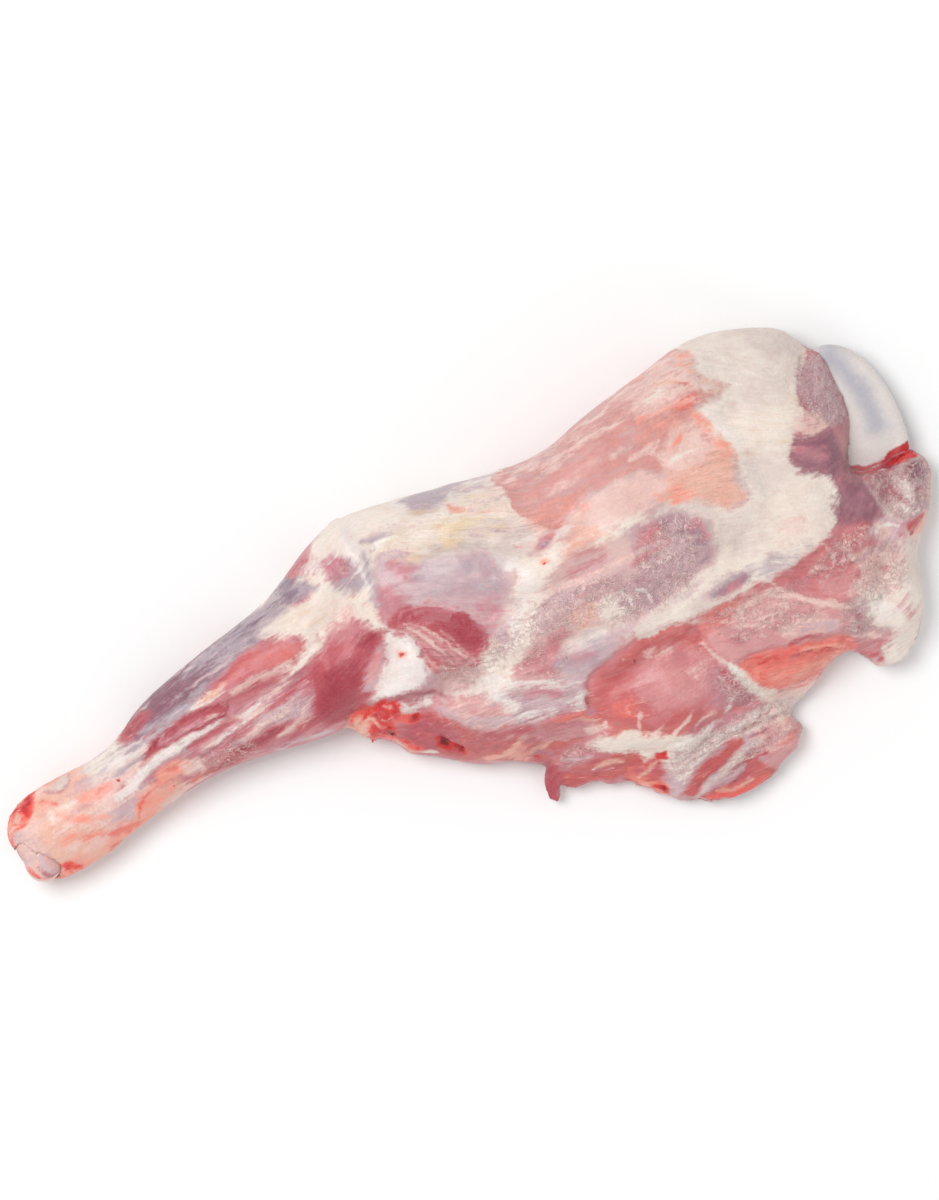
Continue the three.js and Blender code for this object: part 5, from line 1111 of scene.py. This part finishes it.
def solid_copy(node, name):
    """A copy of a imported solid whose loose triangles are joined."""
    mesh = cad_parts[node].data.copy()
    mesh.materials.clear()
    work = bmesh.new()
    work.from_mesh(mesh)
    bmesh.ops.remove_doubles(work, verts=work.verts, dist=1e-6)
    work.to_mesh(mesh)
    work.free()
    return linked(name, mesh)


def settle_modifiers(piece):
    """Replaces the piece's mesh by what its modifiers make of it."""
    graph = bpy.context.evaluated_depsgraph_get()
    mesh = bpy.data.meshes.new_from_object(piece.evaluated_get(graph))
    piece.modifiers.clear()
    piece.data = mesh


def drop_scraps(mesh):
    """Keeps the largest part of a mesh, where it has parts that don't touch."""
    work = bmesh.new()
    work.from_mesh(mesh)
    unseen = set(work.verts)
    parts = []
    while unseen:
        part = [unseen.pop()]
        for vert in part:
            others = {edge.other_vert(vert) for edge in vert.link_edges} & unseen
            unseen -= others
            part.extend(others)
        parts.append(part)
    parts.sort(key=len)
    for part in parts[:-1]:
        bmesh.ops.delete(work, geom=part, context="VERTS")
    work.to_mesh(mesh)
    work.free()


def remesh(piece, voxel_mm):
    modifier = piece.modifiers.new("even_grid", "REMESH")
    modifier.mode = "VOXEL"
    modifier.voxel_size = voxel_mm * MM
    modifier.use_smooth_shade = True
    settle_modifiers(piece)
    drop_scraps(piece.data)


def thin_out(piece, most):
    """Leaves at most so many triangles, by taking them from what is turned down."""
    mesh = piece.data
    triangles = sum(len(face.vertices) - 2 for face in mesh.polygons)
    turned_down = np.flatnonzero(normals_of(mesh)[:, 2] < TURNED_DOWN)
    group = piece.vertex_groups.new(name="turned_down")
    group.add(turned_down.tolist(), 1.0, "REPLACE")
    modifier = piece.modifiers.new("thin_out", "DECIMATE")
    modifier.vertex_group = group.name
    modifier.ratio = min(1, most / triangles)
    settle_modifiers(piece)
    piece.vertex_groups.clear()


def points_of(mesh):
    at = np.empty(len(mesh.vertices) * 3)
    mesh.vertices.foreach_get("co", at)
    return at.reshape(-1, 3) / MM


def set_points(mesh, at):
    mesh.vertices.foreach_set("co", (at * MM).astype(np.float32).ravel())
    mesh.update()


def normals_of(mesh):
    normals = np.empty(len(mesh.vertices) * 3, np.float32)
    mesh.vertex_normals.foreach_get("vector", normals)
    return normals.reshape(-1, 3).astype(float)


def edges_of(mesh):
    edges = np.empty(len(mesh.edges) * 2, np.int32)
    mesh.edges.foreach_get("vertices", edges)
    return edges.reshape(-1, 2)


def smoothed(values, edges, rounds, shrink=0.5, swell=-0.53):
    """Evens values out over the mesh. Every other round swells it, to keep the volume."""
    count = len(values)
    ends = np.concatenate([edges[:, 0], edges[:, 1]])
    others = np.concatenate([edges[:, 1], edges[:, 0]])
    degree = np.maximum(np.bincount(ends, minlength=count), 1)[:, None]
    for n in range(rounds):
        sums = [np.bincount(ends, column[others], minlength=count) for column in values.T]
        mean = np.stack(sums, axis=1) / degree
        values = values + (swell if n % 2 else shrink) * (mean - values)
    return values


def store(mesh, name, values):
    kind = "FLOAT" if values.ndim == 1 else "FLOAT_VECTOR"
    key = "value" if values.ndim == 1 else "vector"
    attribute = mesh.attributes.new(name, kind, "POINT")
    attribute.data.foreach_set(key, values.astype(np.float32).ravel())


def rest_on_surface(at):
    """Lifts what would lie below the surface that the leg rests on."""
    at[:, 2] = np.maximum(at[:, 2], 0)
    return at


def shade_smooth(mesh):
    mesh.polygons.foreach_set("use_smooth", [True] * len(mesh.polygons))


# ================================================================ the meat

# Spots of (x, y, reach) that are smoothed less: torn edges, and the socket of the knuckle.
TORN = [(-193, 22, 8), (-178, -5, 6), (-46, -2, 10), (-33, -17, 6), (46, -69, 8), (8, -55, 7)]
SOCKET = [(-190, 4, 7), (-195, 10, 6), (-187, -4, 5)]


def nearness(at, spots):
    """1 at the spots of (x, y, reach), falling to 0 around them."""
    near = np.zeros(len(at))
    for x, y, reach in spots:
        square = (at[:, 0] - x) ** 2 + (at[:, 1] - y) ** 2
        near = np.maximum(near, np.exp(-square / reach**2))
    return near


def painted(mesh, at):
    """Stores the tissues and the grain on the mesh, and gives the height of the relief."""
    wander = np.stack([layered_noise(at, 11, seed) for seed in (3, 4)], axis=1)
    ragged = np.stack([layered_noise(at, 3.6, seed, 2) for seed in (5, 6)], axis=1)
    drift = np.stack([layered_noise(at, 34, seed) for seed in (7, 8)], axis=1)
    slope = normals_of(mesh)
    flank = 1 - np.clip(slope[:, 2] * 2.2, 0, 1)
    under = np.clip(0.2 - slope[:, 2] * 3, 0, 1)
    plan = at[:, :2] + (TOP_WANDER + FLANK_WANDER * flank)[:, None] * wander + RAGGED * ragged
    plan += FLANK_DRIFT * flank[:, None] * drift
    plan -= TURN_UNDER * under[:, None] * slope[:, :2]
    fields = fields_over(plan, STROKES, [row[0] for row in TISSUES])
    fields |= fields_over(plan, FROTH, ["froth"]) | fields_over(plan, THREADS, ["threads"])
    fields["torn"] = nearness(at, TORN)
    for name, field in fields.items():
        store(mesh, name, field)
    along, across = grain_coordinates(at[:, :2])
    store(mesh, "grain", np.stack([along, across, at[:, 2]], axis=1))

    def cover(name):
        return np.clip(0.5 + 0.5 * fields[name], 0, 1)

    stripes = np.stack([along / 14, across / 2.6, at[:, 2] / 30], axis=1)
    fine_stripes = np.stack([along / 5, across / 1.5, at[:, 2] / 30], axis=1)
    relief = 0.12 * layered_noise(at, 6, 21, 2)
    relief += (0.05 + 0.2 * cover("threads")) * layered_noise(stripes, 1, 31, 2)
    relief += 0.1 * cover("threads") * lattice_noise(fine_stripes, 41)
    relief += 0.3 * cover("froth") * layered_noise(at, 2.6, 51, 2)
    relief += 0.5 * (fields["torn"] + cover("blood")) * layered_noise(at, 2.4, 61, 2)
    relief += 0.3 * cover("cream") + 0.25 * cover("white") + 0.12 * cover("shell")
    relief -= 0.2 * cover("deep")
    for path, width, height in CREASES:
        distance, _ = nearest_on_line(plan, smooth_line(path, False))
        relief += height * np.exp(-((distance / width) ** 2))
    return relief


def make_meat():
    piece = solid_copy("leg_meat", "meat")
    remesh(piece, SKIN_VOXEL)
    edges = edges_of(piece.data)
    at = points_of(piece.data)
    even = smoothed(at, edges, SKIN_ROUNDS)
    slight = smoothed(at, edges, TORN_ROUNDS)
    at = even + nearness(at, TORN + SOCKET)[:, None] * (slight - even)
    set_points(piece.data, rest_on_surface(at))
    thin_out(piece, MEAT_TRIANGLES)
    mesh = piece.data
    at = points_of(mesh)
    normals = normals_of(mesh)
    facing_up = np.clip(normals[:, 2] * 1.5 + 0.5, 0, 1)
    at += (painted(mesh, at) * (0.25 + 0.75 * facing_up))[:, None] * normals
    set_points(mesh, rest_on_surface(at))
    shade_smooth(mesh)
    return piece


def make_gristle(node, name, middle=()):
    """The piece fills the narrow gap that the solids leave around it. Where it has a middle,
    a line of (x, y), it is bluish there."""
    piece = solid_copy(node, name)
    remesh(piece, GRISTLE_VOXEL)
    mesh = piece.data
    at = smoothed(points_of(mesh), edges_of(mesh), GRISTLE_ROUNDS)
    set_points(mesh, at)
    painted(mesh, at)
    if middle:
        distance, _ = nearest_on_line(at[:, :2], smooth_line(middle, False))
        store(mesh, "off_middle", distance)
    at += (GRISTLE_GROWTH + 0.06 * layered_noise(at, 5, 71, 2))[:, None] * normals_of(mesh)
    set_points(mesh, rest_on_surface(at))
    shade_smooth(mesh)
    return piece


# ================================================================ materials

class Wire:
    """One value in a material, so that sums of values can be written as Python."""

    def __init__(self, book, socket):
        self.book = book
        self.socket = socket

    def _math(self, operation, *values):
        return self.book.node("ShaderNodeMath", {"operation": operation}, dict(enumerate(values)))

    def __add__(self, other):
        return self._math("ADD", self, other)

    def __sub__(self, other):
        return self._math("SUBTRACT", self, other)

    def __rsub__(self, other):
        return self._math("SUBTRACT", other, self)

    def __mul__(self, other):
        return self._math("MULTIPLY", self, other)

    __radd__ = __add__
    __rmul__ = __mul__

    def max(self, other):
        return self._math("MAXIMUM", self, other)

    def magnitude(self):
        return self._math("ABSOLUTE", self)

    def ramp(self, low, high, start=0.0, end=1.0):
        """Eases from start at low to end at high."""
        values = {"Value": self, 1: low, 2: high, 3: start, 4: end}
        return self.book.node("ShaderNodeMapRange", {"interpolation_type": "SMOOTHSTEP"}, values)


class Recipe:
    """A material under construction."""

    def __init__(self, name):
        self.material = bpy.data.materials.new(name)
        self.material.use_nodes = True
        self.nodes = self.material.node_tree.nodes
        self.links = self.material.node_tree.links
        self.nodes.clear()

    def node(self, kind, settings, values, output=0):
        """Adds a node: its settings first, then the values or links of its sockets."""
        made = self.nodes.new(kind)
        for key, value in settings.items():
            setattr(made, key, value)
        for key, value in values.items():
            socket = made.inputs[key]
            if isinstance(value, Wire):
                self.links.new(value.socket, socket)
            else:
                socket.default_value = value
        return Wire(self, made.outputs[output])

    def attribute(self, name, output="Fac"):
        return self.node("ShaderNodeAttribute", {"attribute_name": name}, {}, output)

    def noise(self, at, scale, detail=3.0, roughness=0.55, distortion=0.0):
        values = {"Vector": at, "Scale": scale, "Detail": detail, "Roughness": roughness,
                  "Distortion": distortion}
        return self.node("ShaderNodeTexNoise", {}, values)

    def stretched(self, at, factors):
        """The coordinates, each multiplied by its own factor."""
        return self.node("ShaderNodeVectorMath", {"operation": "MULTIPLY"}, {0: at, 1: factors})

    def scaled(self, colour, factor):
        values = {0: colour, "Scale": factor}
        return self.node("ShaderNodeVectorMath", {"operation": "SCALE"}, values)

    def bump(self, height, strength, distance):
        values = {"Strength": strength, "Distance": distance, "Height": height}
        return self.node("ShaderNodeBump", {}, values)

    def blend(self, share, below, above):
        """The colour below, covered by the colour above as far as share says."""
        return self.node("ShaderNodeMix", {"data_type": "RGBA"}, {0: share, 6: below, 7: above}, 2)

    def finish(self, surface, settings):
        """The surface's varying values and its settings that are the same all over."""
        shader = self.nodes.new("ShaderNodeBsdfPrincipled")
        for key, value in settings.items():
            shader.inputs[key].default_value = value
        for key, value in surface.items():
            self.links.new(value.socket, shader.inputs[key])
        output = self.nodes.new("ShaderNodeOutputMaterial")
        self.links.new(shader.outputs[0], output.inputs[0])
        return self.material


def tint(red, green, blue):
    """A colour seen under white light, as the renderer wants it."""
    def linear(value):
        value /= 255
        return value / 12.92 if value <= 0.04045 else ((value + 0.055) / 1.055) ** 2.4
    return (linear(red), linear(green), linear(blue), 1)


# Each tissue, from the lowest to the topmost: its light and dark shade, how far its edge
# frays in blots and in threads, how gradual the edge is, how fatty it is, and its roughness.
TISSUES = [
    ("veil", (217, 184, 178), (206, 166, 164), 0.5, 0.4, 0.8, 0.4, 0.40),
    ("lilac", (212, 184, 186), (196, 158, 166), 0.4, 0.5, 0.8, 0.3, 0.36),
    ("mauve", (204, 172, 174), (184, 142, 149), 0.5, 0.4, 0.7, 0.2, 0.38),
    ("slate", (152, 129, 142), (132, 106, 124), 0.2, 0.6, 0.7, 0.2, 0.36),
    ("maroon", (188, 128, 134), (168, 102, 112), 0.4, 0.4, 0.7, 0.0, 0.38),
    ("plum", (150, 104, 116), (134, 84, 100), 0.4, 0.5, 0.8, 0.0, 0.36),
    ("salmon", (217, 158, 151), (206, 139, 134), 0.3, 0.4, 0.6, 0.1, 0.40),
    ("coral", (212, 128, 127), (201, 110, 115), 0.4, 0.4, 0.7, 0.0, 0.38),
    ("lean", (206, 104, 100), (191, 84, 86), 0.4, 0.4, 0.7, 0.0, 0.36),
    ("ember", (236, 134, 119), (224, 108, 99), 0.5, 0.4, 0.7, 0.1, 0.32),
    ("flush", (218, 158, 157), (206, 140, 142), 0.5, 0.5, 0.8, 0.2, 0.38),
    ("peach", (234, 184, 166), (226, 166, 149), 0.5, 0.5, 0.8, 0.5, 0.40),
    ("rose", (204, 136, 139), (191, 114, 121), 0.4, 0.5, 0.8, 0.0, 0.36),
    ("shell", (236, 204, 195), (226, 185, 176), 0.5, 0.6, 0.8, 0.7, 0.42),
    ("cream", (238, 225, 213), (228, 210, 199), 0.4, 0.5, 0.7, 1.0, 0.48),
    ("ash", (226, 211, 202), (212, 194, 186), 0.5, 0.4, 0.8, 0.9, 0.48),
    ("white", (238, 228, 222), (226, 211, 206), 0.4, 0.6, 0.6, 1.0, 0.44),
    ("deep", (196, 98, 105), (179, 74, 86), 0.3, 0.6, 0.7, 0.0, 0.34),
    ("crimson", (172, 66, 79), (159, 52, 67), 0.3, 0.4, 0.9, 0.0, 0.34),
    ("blush", (202, 138, 146), (190, 116, 128), 0.4, 0.6, 0.8, 0.1, 0.36),
    ("smoke", (188, 172, 178), (172, 152, 161), 0.3, 0.6, 0.8, 0.5, 0.36),
    ("yellow", (228, 206, 174), (218, 190, 154), 0.4, 0.6, 0.9, 0.8, 0.44),
    ("apricot", (242, 170, 151), (236, 148, 130), 0.5, 0.6, 0.8, 0.3, 0.36),
    ("graze", (238, 98, 84), (226, 72, 66), 0.5, 0.3, 0.7, 0.0, 0.26),
    ("blood", (214, 58, 56), (195, 34, 38), 0.5, 0.3, 0.6, 0.0, 0.22),
    ("clot", (148, 2, 6), (96, 1, 3), 0.3, 0.2, 0.7, 0.0, 0.34),
]
BLOODY = 3  # the last tissues lie on top of the threads and the froth
BARE_MEAT = ((208, 140, 144), (194, 116, 124))
BARE_ROUGHNESS = 0.38
BARE_FAT = 0.05
# Colours of painted light: pale strands with painted highlight, painted shade over lean and over
# fat, and painted glints.
PALE_THREADS_AND_HIGHLIGHT = (240, 208, 202)
LEAN_SHADOW = (150, 72, 82)
FAT_SHADOW = (196, 152, 156)
GLINT = (250, 240, 236)
GRISTLE_BLOOD = [("deep", (190, 92, 98)), ("crimson", (176, 46, 52)), ("blood", (184, 34, 38))]


def meat_material(name):
    recipe = Recipe(name)
    place = recipe.node("ShaderNodeTexCoord", {}, {}, "Object")
    grain = recipe.attribute("grain", "Vector")
    threads = recipe.attribute("threads").ramp(-0.6, 0.9)
    froth = recipe.attribute("froth").ramp(-0.9, 0.9)

    def centred(noise):
        """The noise, spread to run from about -1 to 1."""
        return (noise - 0.5) * 6

    blots = centred(recipe.noise(place, 150, 5, 0.62))
    grit = centred(recipe.noise(place, 720, 3, 0.6))
    streaks = centred(recipe.noise(recipe.stretched(grain, (0.07, 0.42, 0.1)), 1, 5, 0.66, 0.5))
    fibres = centred(recipe.noise(recipe.stretched(grain, (0.14, 0.95, 0.3)), 1, 4, 0.62, 0.4))
    clouds = centred(recipe.noise(place, 62, 3, 0.55, 0.4))

    colour = recipe.blend(clouds.ramp(-0.9, 0.9), tint(*BARE_MEAT[0]), tint(*BARE_MEAT[1]))
    roughness, fat = BARE_ROUGHNESS, BARE_FAT
    mottle = clouds * 0.5 + streaks * 0.35 + blots * 0.2

    def lay(colour, row):
        """The share of the row's tissue, and the colour with the tissue laid on it."""
        name, light, dark, blotted, threaded, edge = row[:6]
        field = recipe.attribute(name) + blots * blotted + streaks * threaded + grit * 0.16
        share = field.ramp(-edge, edge)
        shade = recipe.blend(mottle.ramp(-0.8, 0.8), tint(*light), tint(*dark))
        return share, recipe.blend(share, colour, shade)

    for row in TISSUES[:-BLOODY]:
        share, colour = lay(colour, row)
        fatty, rough = row[6:]
        roughness = share * (rough - roughness) + roughness
        fat = share * (fatty - fat) + fat

    # Lighter and darker threads along the grain, most of all in bare muscle: partly the
    # meat's own grain, and partly painted shade and painted highlight for its fine relief. The
    # dark threads are painted shade between the fibres; the pale ones are pale strands with
    # painted highlight on the raised fibres.
    lean = 1 - fat
    light = fibres * (threads * lean * 0.065 + 0.034) + streaks * (threads * 0.035 + 0.02)
    light = light + grit * (froth * 0.045 + 0.038) + blots * 0.02 + 0.97
    colour = recipe.scaled(colour, light)
    shadow = recipe.blend(fat, tint(*LEAN_SHADOW), tint(*FAT_SHADOW))
    weave = fibres * 0.6 + streaks * 0.4
    colour = recipe.blend((weave * -1).ramp(0.3, 1.3) * threads * 0.3, colour, shadow)
    raised = weave.ramp(0.3, 1.2) * (threads * 0.45 + 0.08)
    colour = recipe.blend(raised, colour, tint(*PALE_THREADS_AND_HIGHLIGHT))

    # Froth: a web of pale squiggles over dark pits. The squiggles are partly the skin's pale
    # strands and partly painted highlight on its crinkles; the pits are darkened by painted shade.
    patchy = (froth * 2 + blots * 0.6).ramp(0.6, 1.9)
    web = recipe.noise(place, 215, 4, 0.6, 1.4) - 0.5
    web = web.magnitude().ramp(0.0, 0.06, 1.0, 0.0)
    pits = recipe.noise(place, 430, 3, 0.6, 0.6) - 0.5
    colour = recipe.blend(pits.ramp(0.0, 0.14) * patchy * 0.42, colour, shadow)
    colour = recipe.blend(web * (patchy * 0.66 + 0.03), colour, tint(*PALE_THREADS_AND_HIGHLIGHT))
    # Painted glints: near-white specks in the colour, standing in for highlights on wet skin.
    glints = (fibres * 0.5 + grit * 0.45 - pits * 4).ramp(1.1, 1.7)
    colour = recipe.blend(glints * (patchy * 0.7 + threads * 0.4 + 0.1), colour, tint(*GLINT))

    for row in TISSUES[-BLOODY:]:
        share, colour = lay(colour, row)
        roughness = share * (row[7] - roughness) + roughness
    clotted = share

    height = streaks * (threads * 0.2 + 0.1) + fibres * (threads * 0.14 + 0.05)
    height = height + grit * 0.07 + blots * 0.08 + web * (patchy * 0.5 + 0.04)
    normal = recipe.bump(height - pits * patchy * 0.45, 0.8, 0.8 * MM)
    roughness = (roughness + blots * 0.03 + grit * 0.03).max(0.12)
    wet = blots.ramp(-1.2, 1.4, 0.06, 0.34) * (1 - clotted * 0.8)
    return recipe.finish(
        {"Base Color": colour, "Roughness": roughness, "Coat Weight": wet, "Normal": normal},
        {"IOR": 1.4, "Coat Roughness": 0.16, "Subsurface Weight": 0.1,
         "Subsurface Radius": (1.0, 0.42, 0.3), "Subsurface Scale": 1.5 * MM},
    )


def gristle_material(name, bluish, pale, flush):
    """Pale gristle, bluish in the middle, whose bloody edge follows the painted tissues."""
    recipe = Recipe(name)
    place = recipe.node("ShaderNodeTexCoord", {}, {}, "Object")
    broad = recipe.noise(place, 90, 4, 0.55) - 0.5
    fine = recipe.noise(place, 700, 4, 0.6)
    off_middle = recipe.attribute("off_middle") + broad * 7
    colour = recipe.blend(off_middle.ramp(0.5, 8), tint(*bluish), tint(*pale))
    flecks = recipe.noise(place, 210, 4, 0.6).ramp(0.56, 0.74) * 0.4
    colour = recipe.blend(flecks, colour, tint(*flush))
    colour = recipe.scaled(colour, broad * 0.12 + fine * 0.08 + 0.96)
    for tissue, shade in GRISTLE_BLOOD:
        share = (recipe.attribute(tissue) + broad * 3 + fine - 0.5).ramp(-0.5, 0.5)
        colour = recipe.blend(share, colour, tint(*shade))
    normal = recipe.bump(fine, 0.3, 0.3 * MM)
    return recipe.finish(
        {"Base Color": colour, "Roughness": fine.ramp(0.3, 0.7, 0.2, 0.4), "Normal": normal},
        {"IOR": 1.4, "Coat Weight": 0.4, "Coat Roughness": 0.12, "Subsurface Weight": 0.15,
         "Subsurface Radius": (1.0, 0.7, 0.6), "Subsurface Scale": 2 * MM},
    )


# ================================================================ stage, light and camera

def make_stage():
    mesh = bpy.data.meshes.new("floor")
    half, low = 3.0, -0.2 * MM
    corners = [(-half, -half, low), (half, -half, low), (half, half, low), (-half, half, low)]
    mesh.from_pydata(corners, [], [(0, 1, 2, 3)])
    floor = linked("floor", mesh)
    recipe = Recipe("pale_floor")
    mesh.materials.append(recipe.finish({}, {"Base Color": (0.9, 0.9, 0.9, 1), "Roughness": 0.9}))


def softbox(name, place, size, watts):
    """A round lamp of the size, aimed at the origin."""
    lamp = bpy.data.lights.new(name, "AREA")
    lamp.shape = "DISK"
    lamp.size = size
    lamp.energy = watts
    lit = bpy.data.objects.new(name, lamp)
    lit.location = place
    lit.rotation_euler = (-Vector(place)).to_track_quat("-Z", "Y").to_euler()
    bpy.context.scene.collection.objects.link(lit)


def make_light():
    world = bpy.data.worlds.new("room")
    world.use_nodes = True
    background = world.node_tree.nodes["Background"]
    background.inputs["Color"].default_value = (1, 1, 1, 1)
    background.inputs["Strength"].default_value = 0.66
    bpy.context.scene.world = world
    softbox("main", (-0.45, 0.6, 1.5), 0.9, 14)
    softbox("low", (0.5, -1.3, 0.8), 0.8, 3)
    softbox("sparkle", (-0.25, 0.3, 1.9), 0.12, 1.2)
    bpy.context.scene.view_settings.view_transform = "Standard"


def make_camera():
    """Looks straight down, turned so that the leg lies in the picture as it was seen."""
    across, down = IMAGE_WIDTH / 2, IMAGE_HEIGHT / 2
    u = across * math.cos(TURN) - down * math.sin(TURN) - LEG_AXIS_PIXELS[0]
    v = -(across * math.sin(TURN) + down * math.cos(TURN)) - LEG_AXIS_PIXELS[1]
    centre = Vector((u, v)) * MM_PER_PIXEL * MM
    half_height = IMAGE_HEIGHT * MM_PER_PIXEL * MM / 2
    lens = bpy.data.cameras.new("camera")
    lens.lens = LENS_MM
    camera = bpy.data.objects.new("camera", lens)
    distance = half_height / (lens.sensor_width / 2 / LENS_MM)
    camera.location = (centre.x, centre.y, SEEN_HEIGHT_MM * MM + distance)
    camera.rotation_euler = (0, 0, -TURN)
    lens.clip_end = 20
    bpy.context.scene.collection.objects.link(camera)
    bpy.context.scene.camera = camera


# ================================================================ putting it together

def dress(piece, node, material):
    piece.data.materials.append(material)
    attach(piece, "root")
    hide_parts(node)


meat = make_meat()
blade_gristle = make_gristle(
    "blade_cartilage", "blade_gristle", [(187, 27), (187, 40), (184, 51), (180, 60)])
knuckle_gristle = make_gristle("knuckle_cartilage", "knuckle_gristle")
blue_gristle = gristle_material("blue_gristle", (182, 179, 186), (214, 206, 202), (214, 198, 194))

dress(meat, "leg_meat", meat_material("raw_meat"))
dress(blade_gristle, "blade_cartilage", blue_gristle)
dress(knuckle_gristle, "knuckle_cartilage", meat_material("pink_gristle"))
make_stage()
make_light()
make_camera()
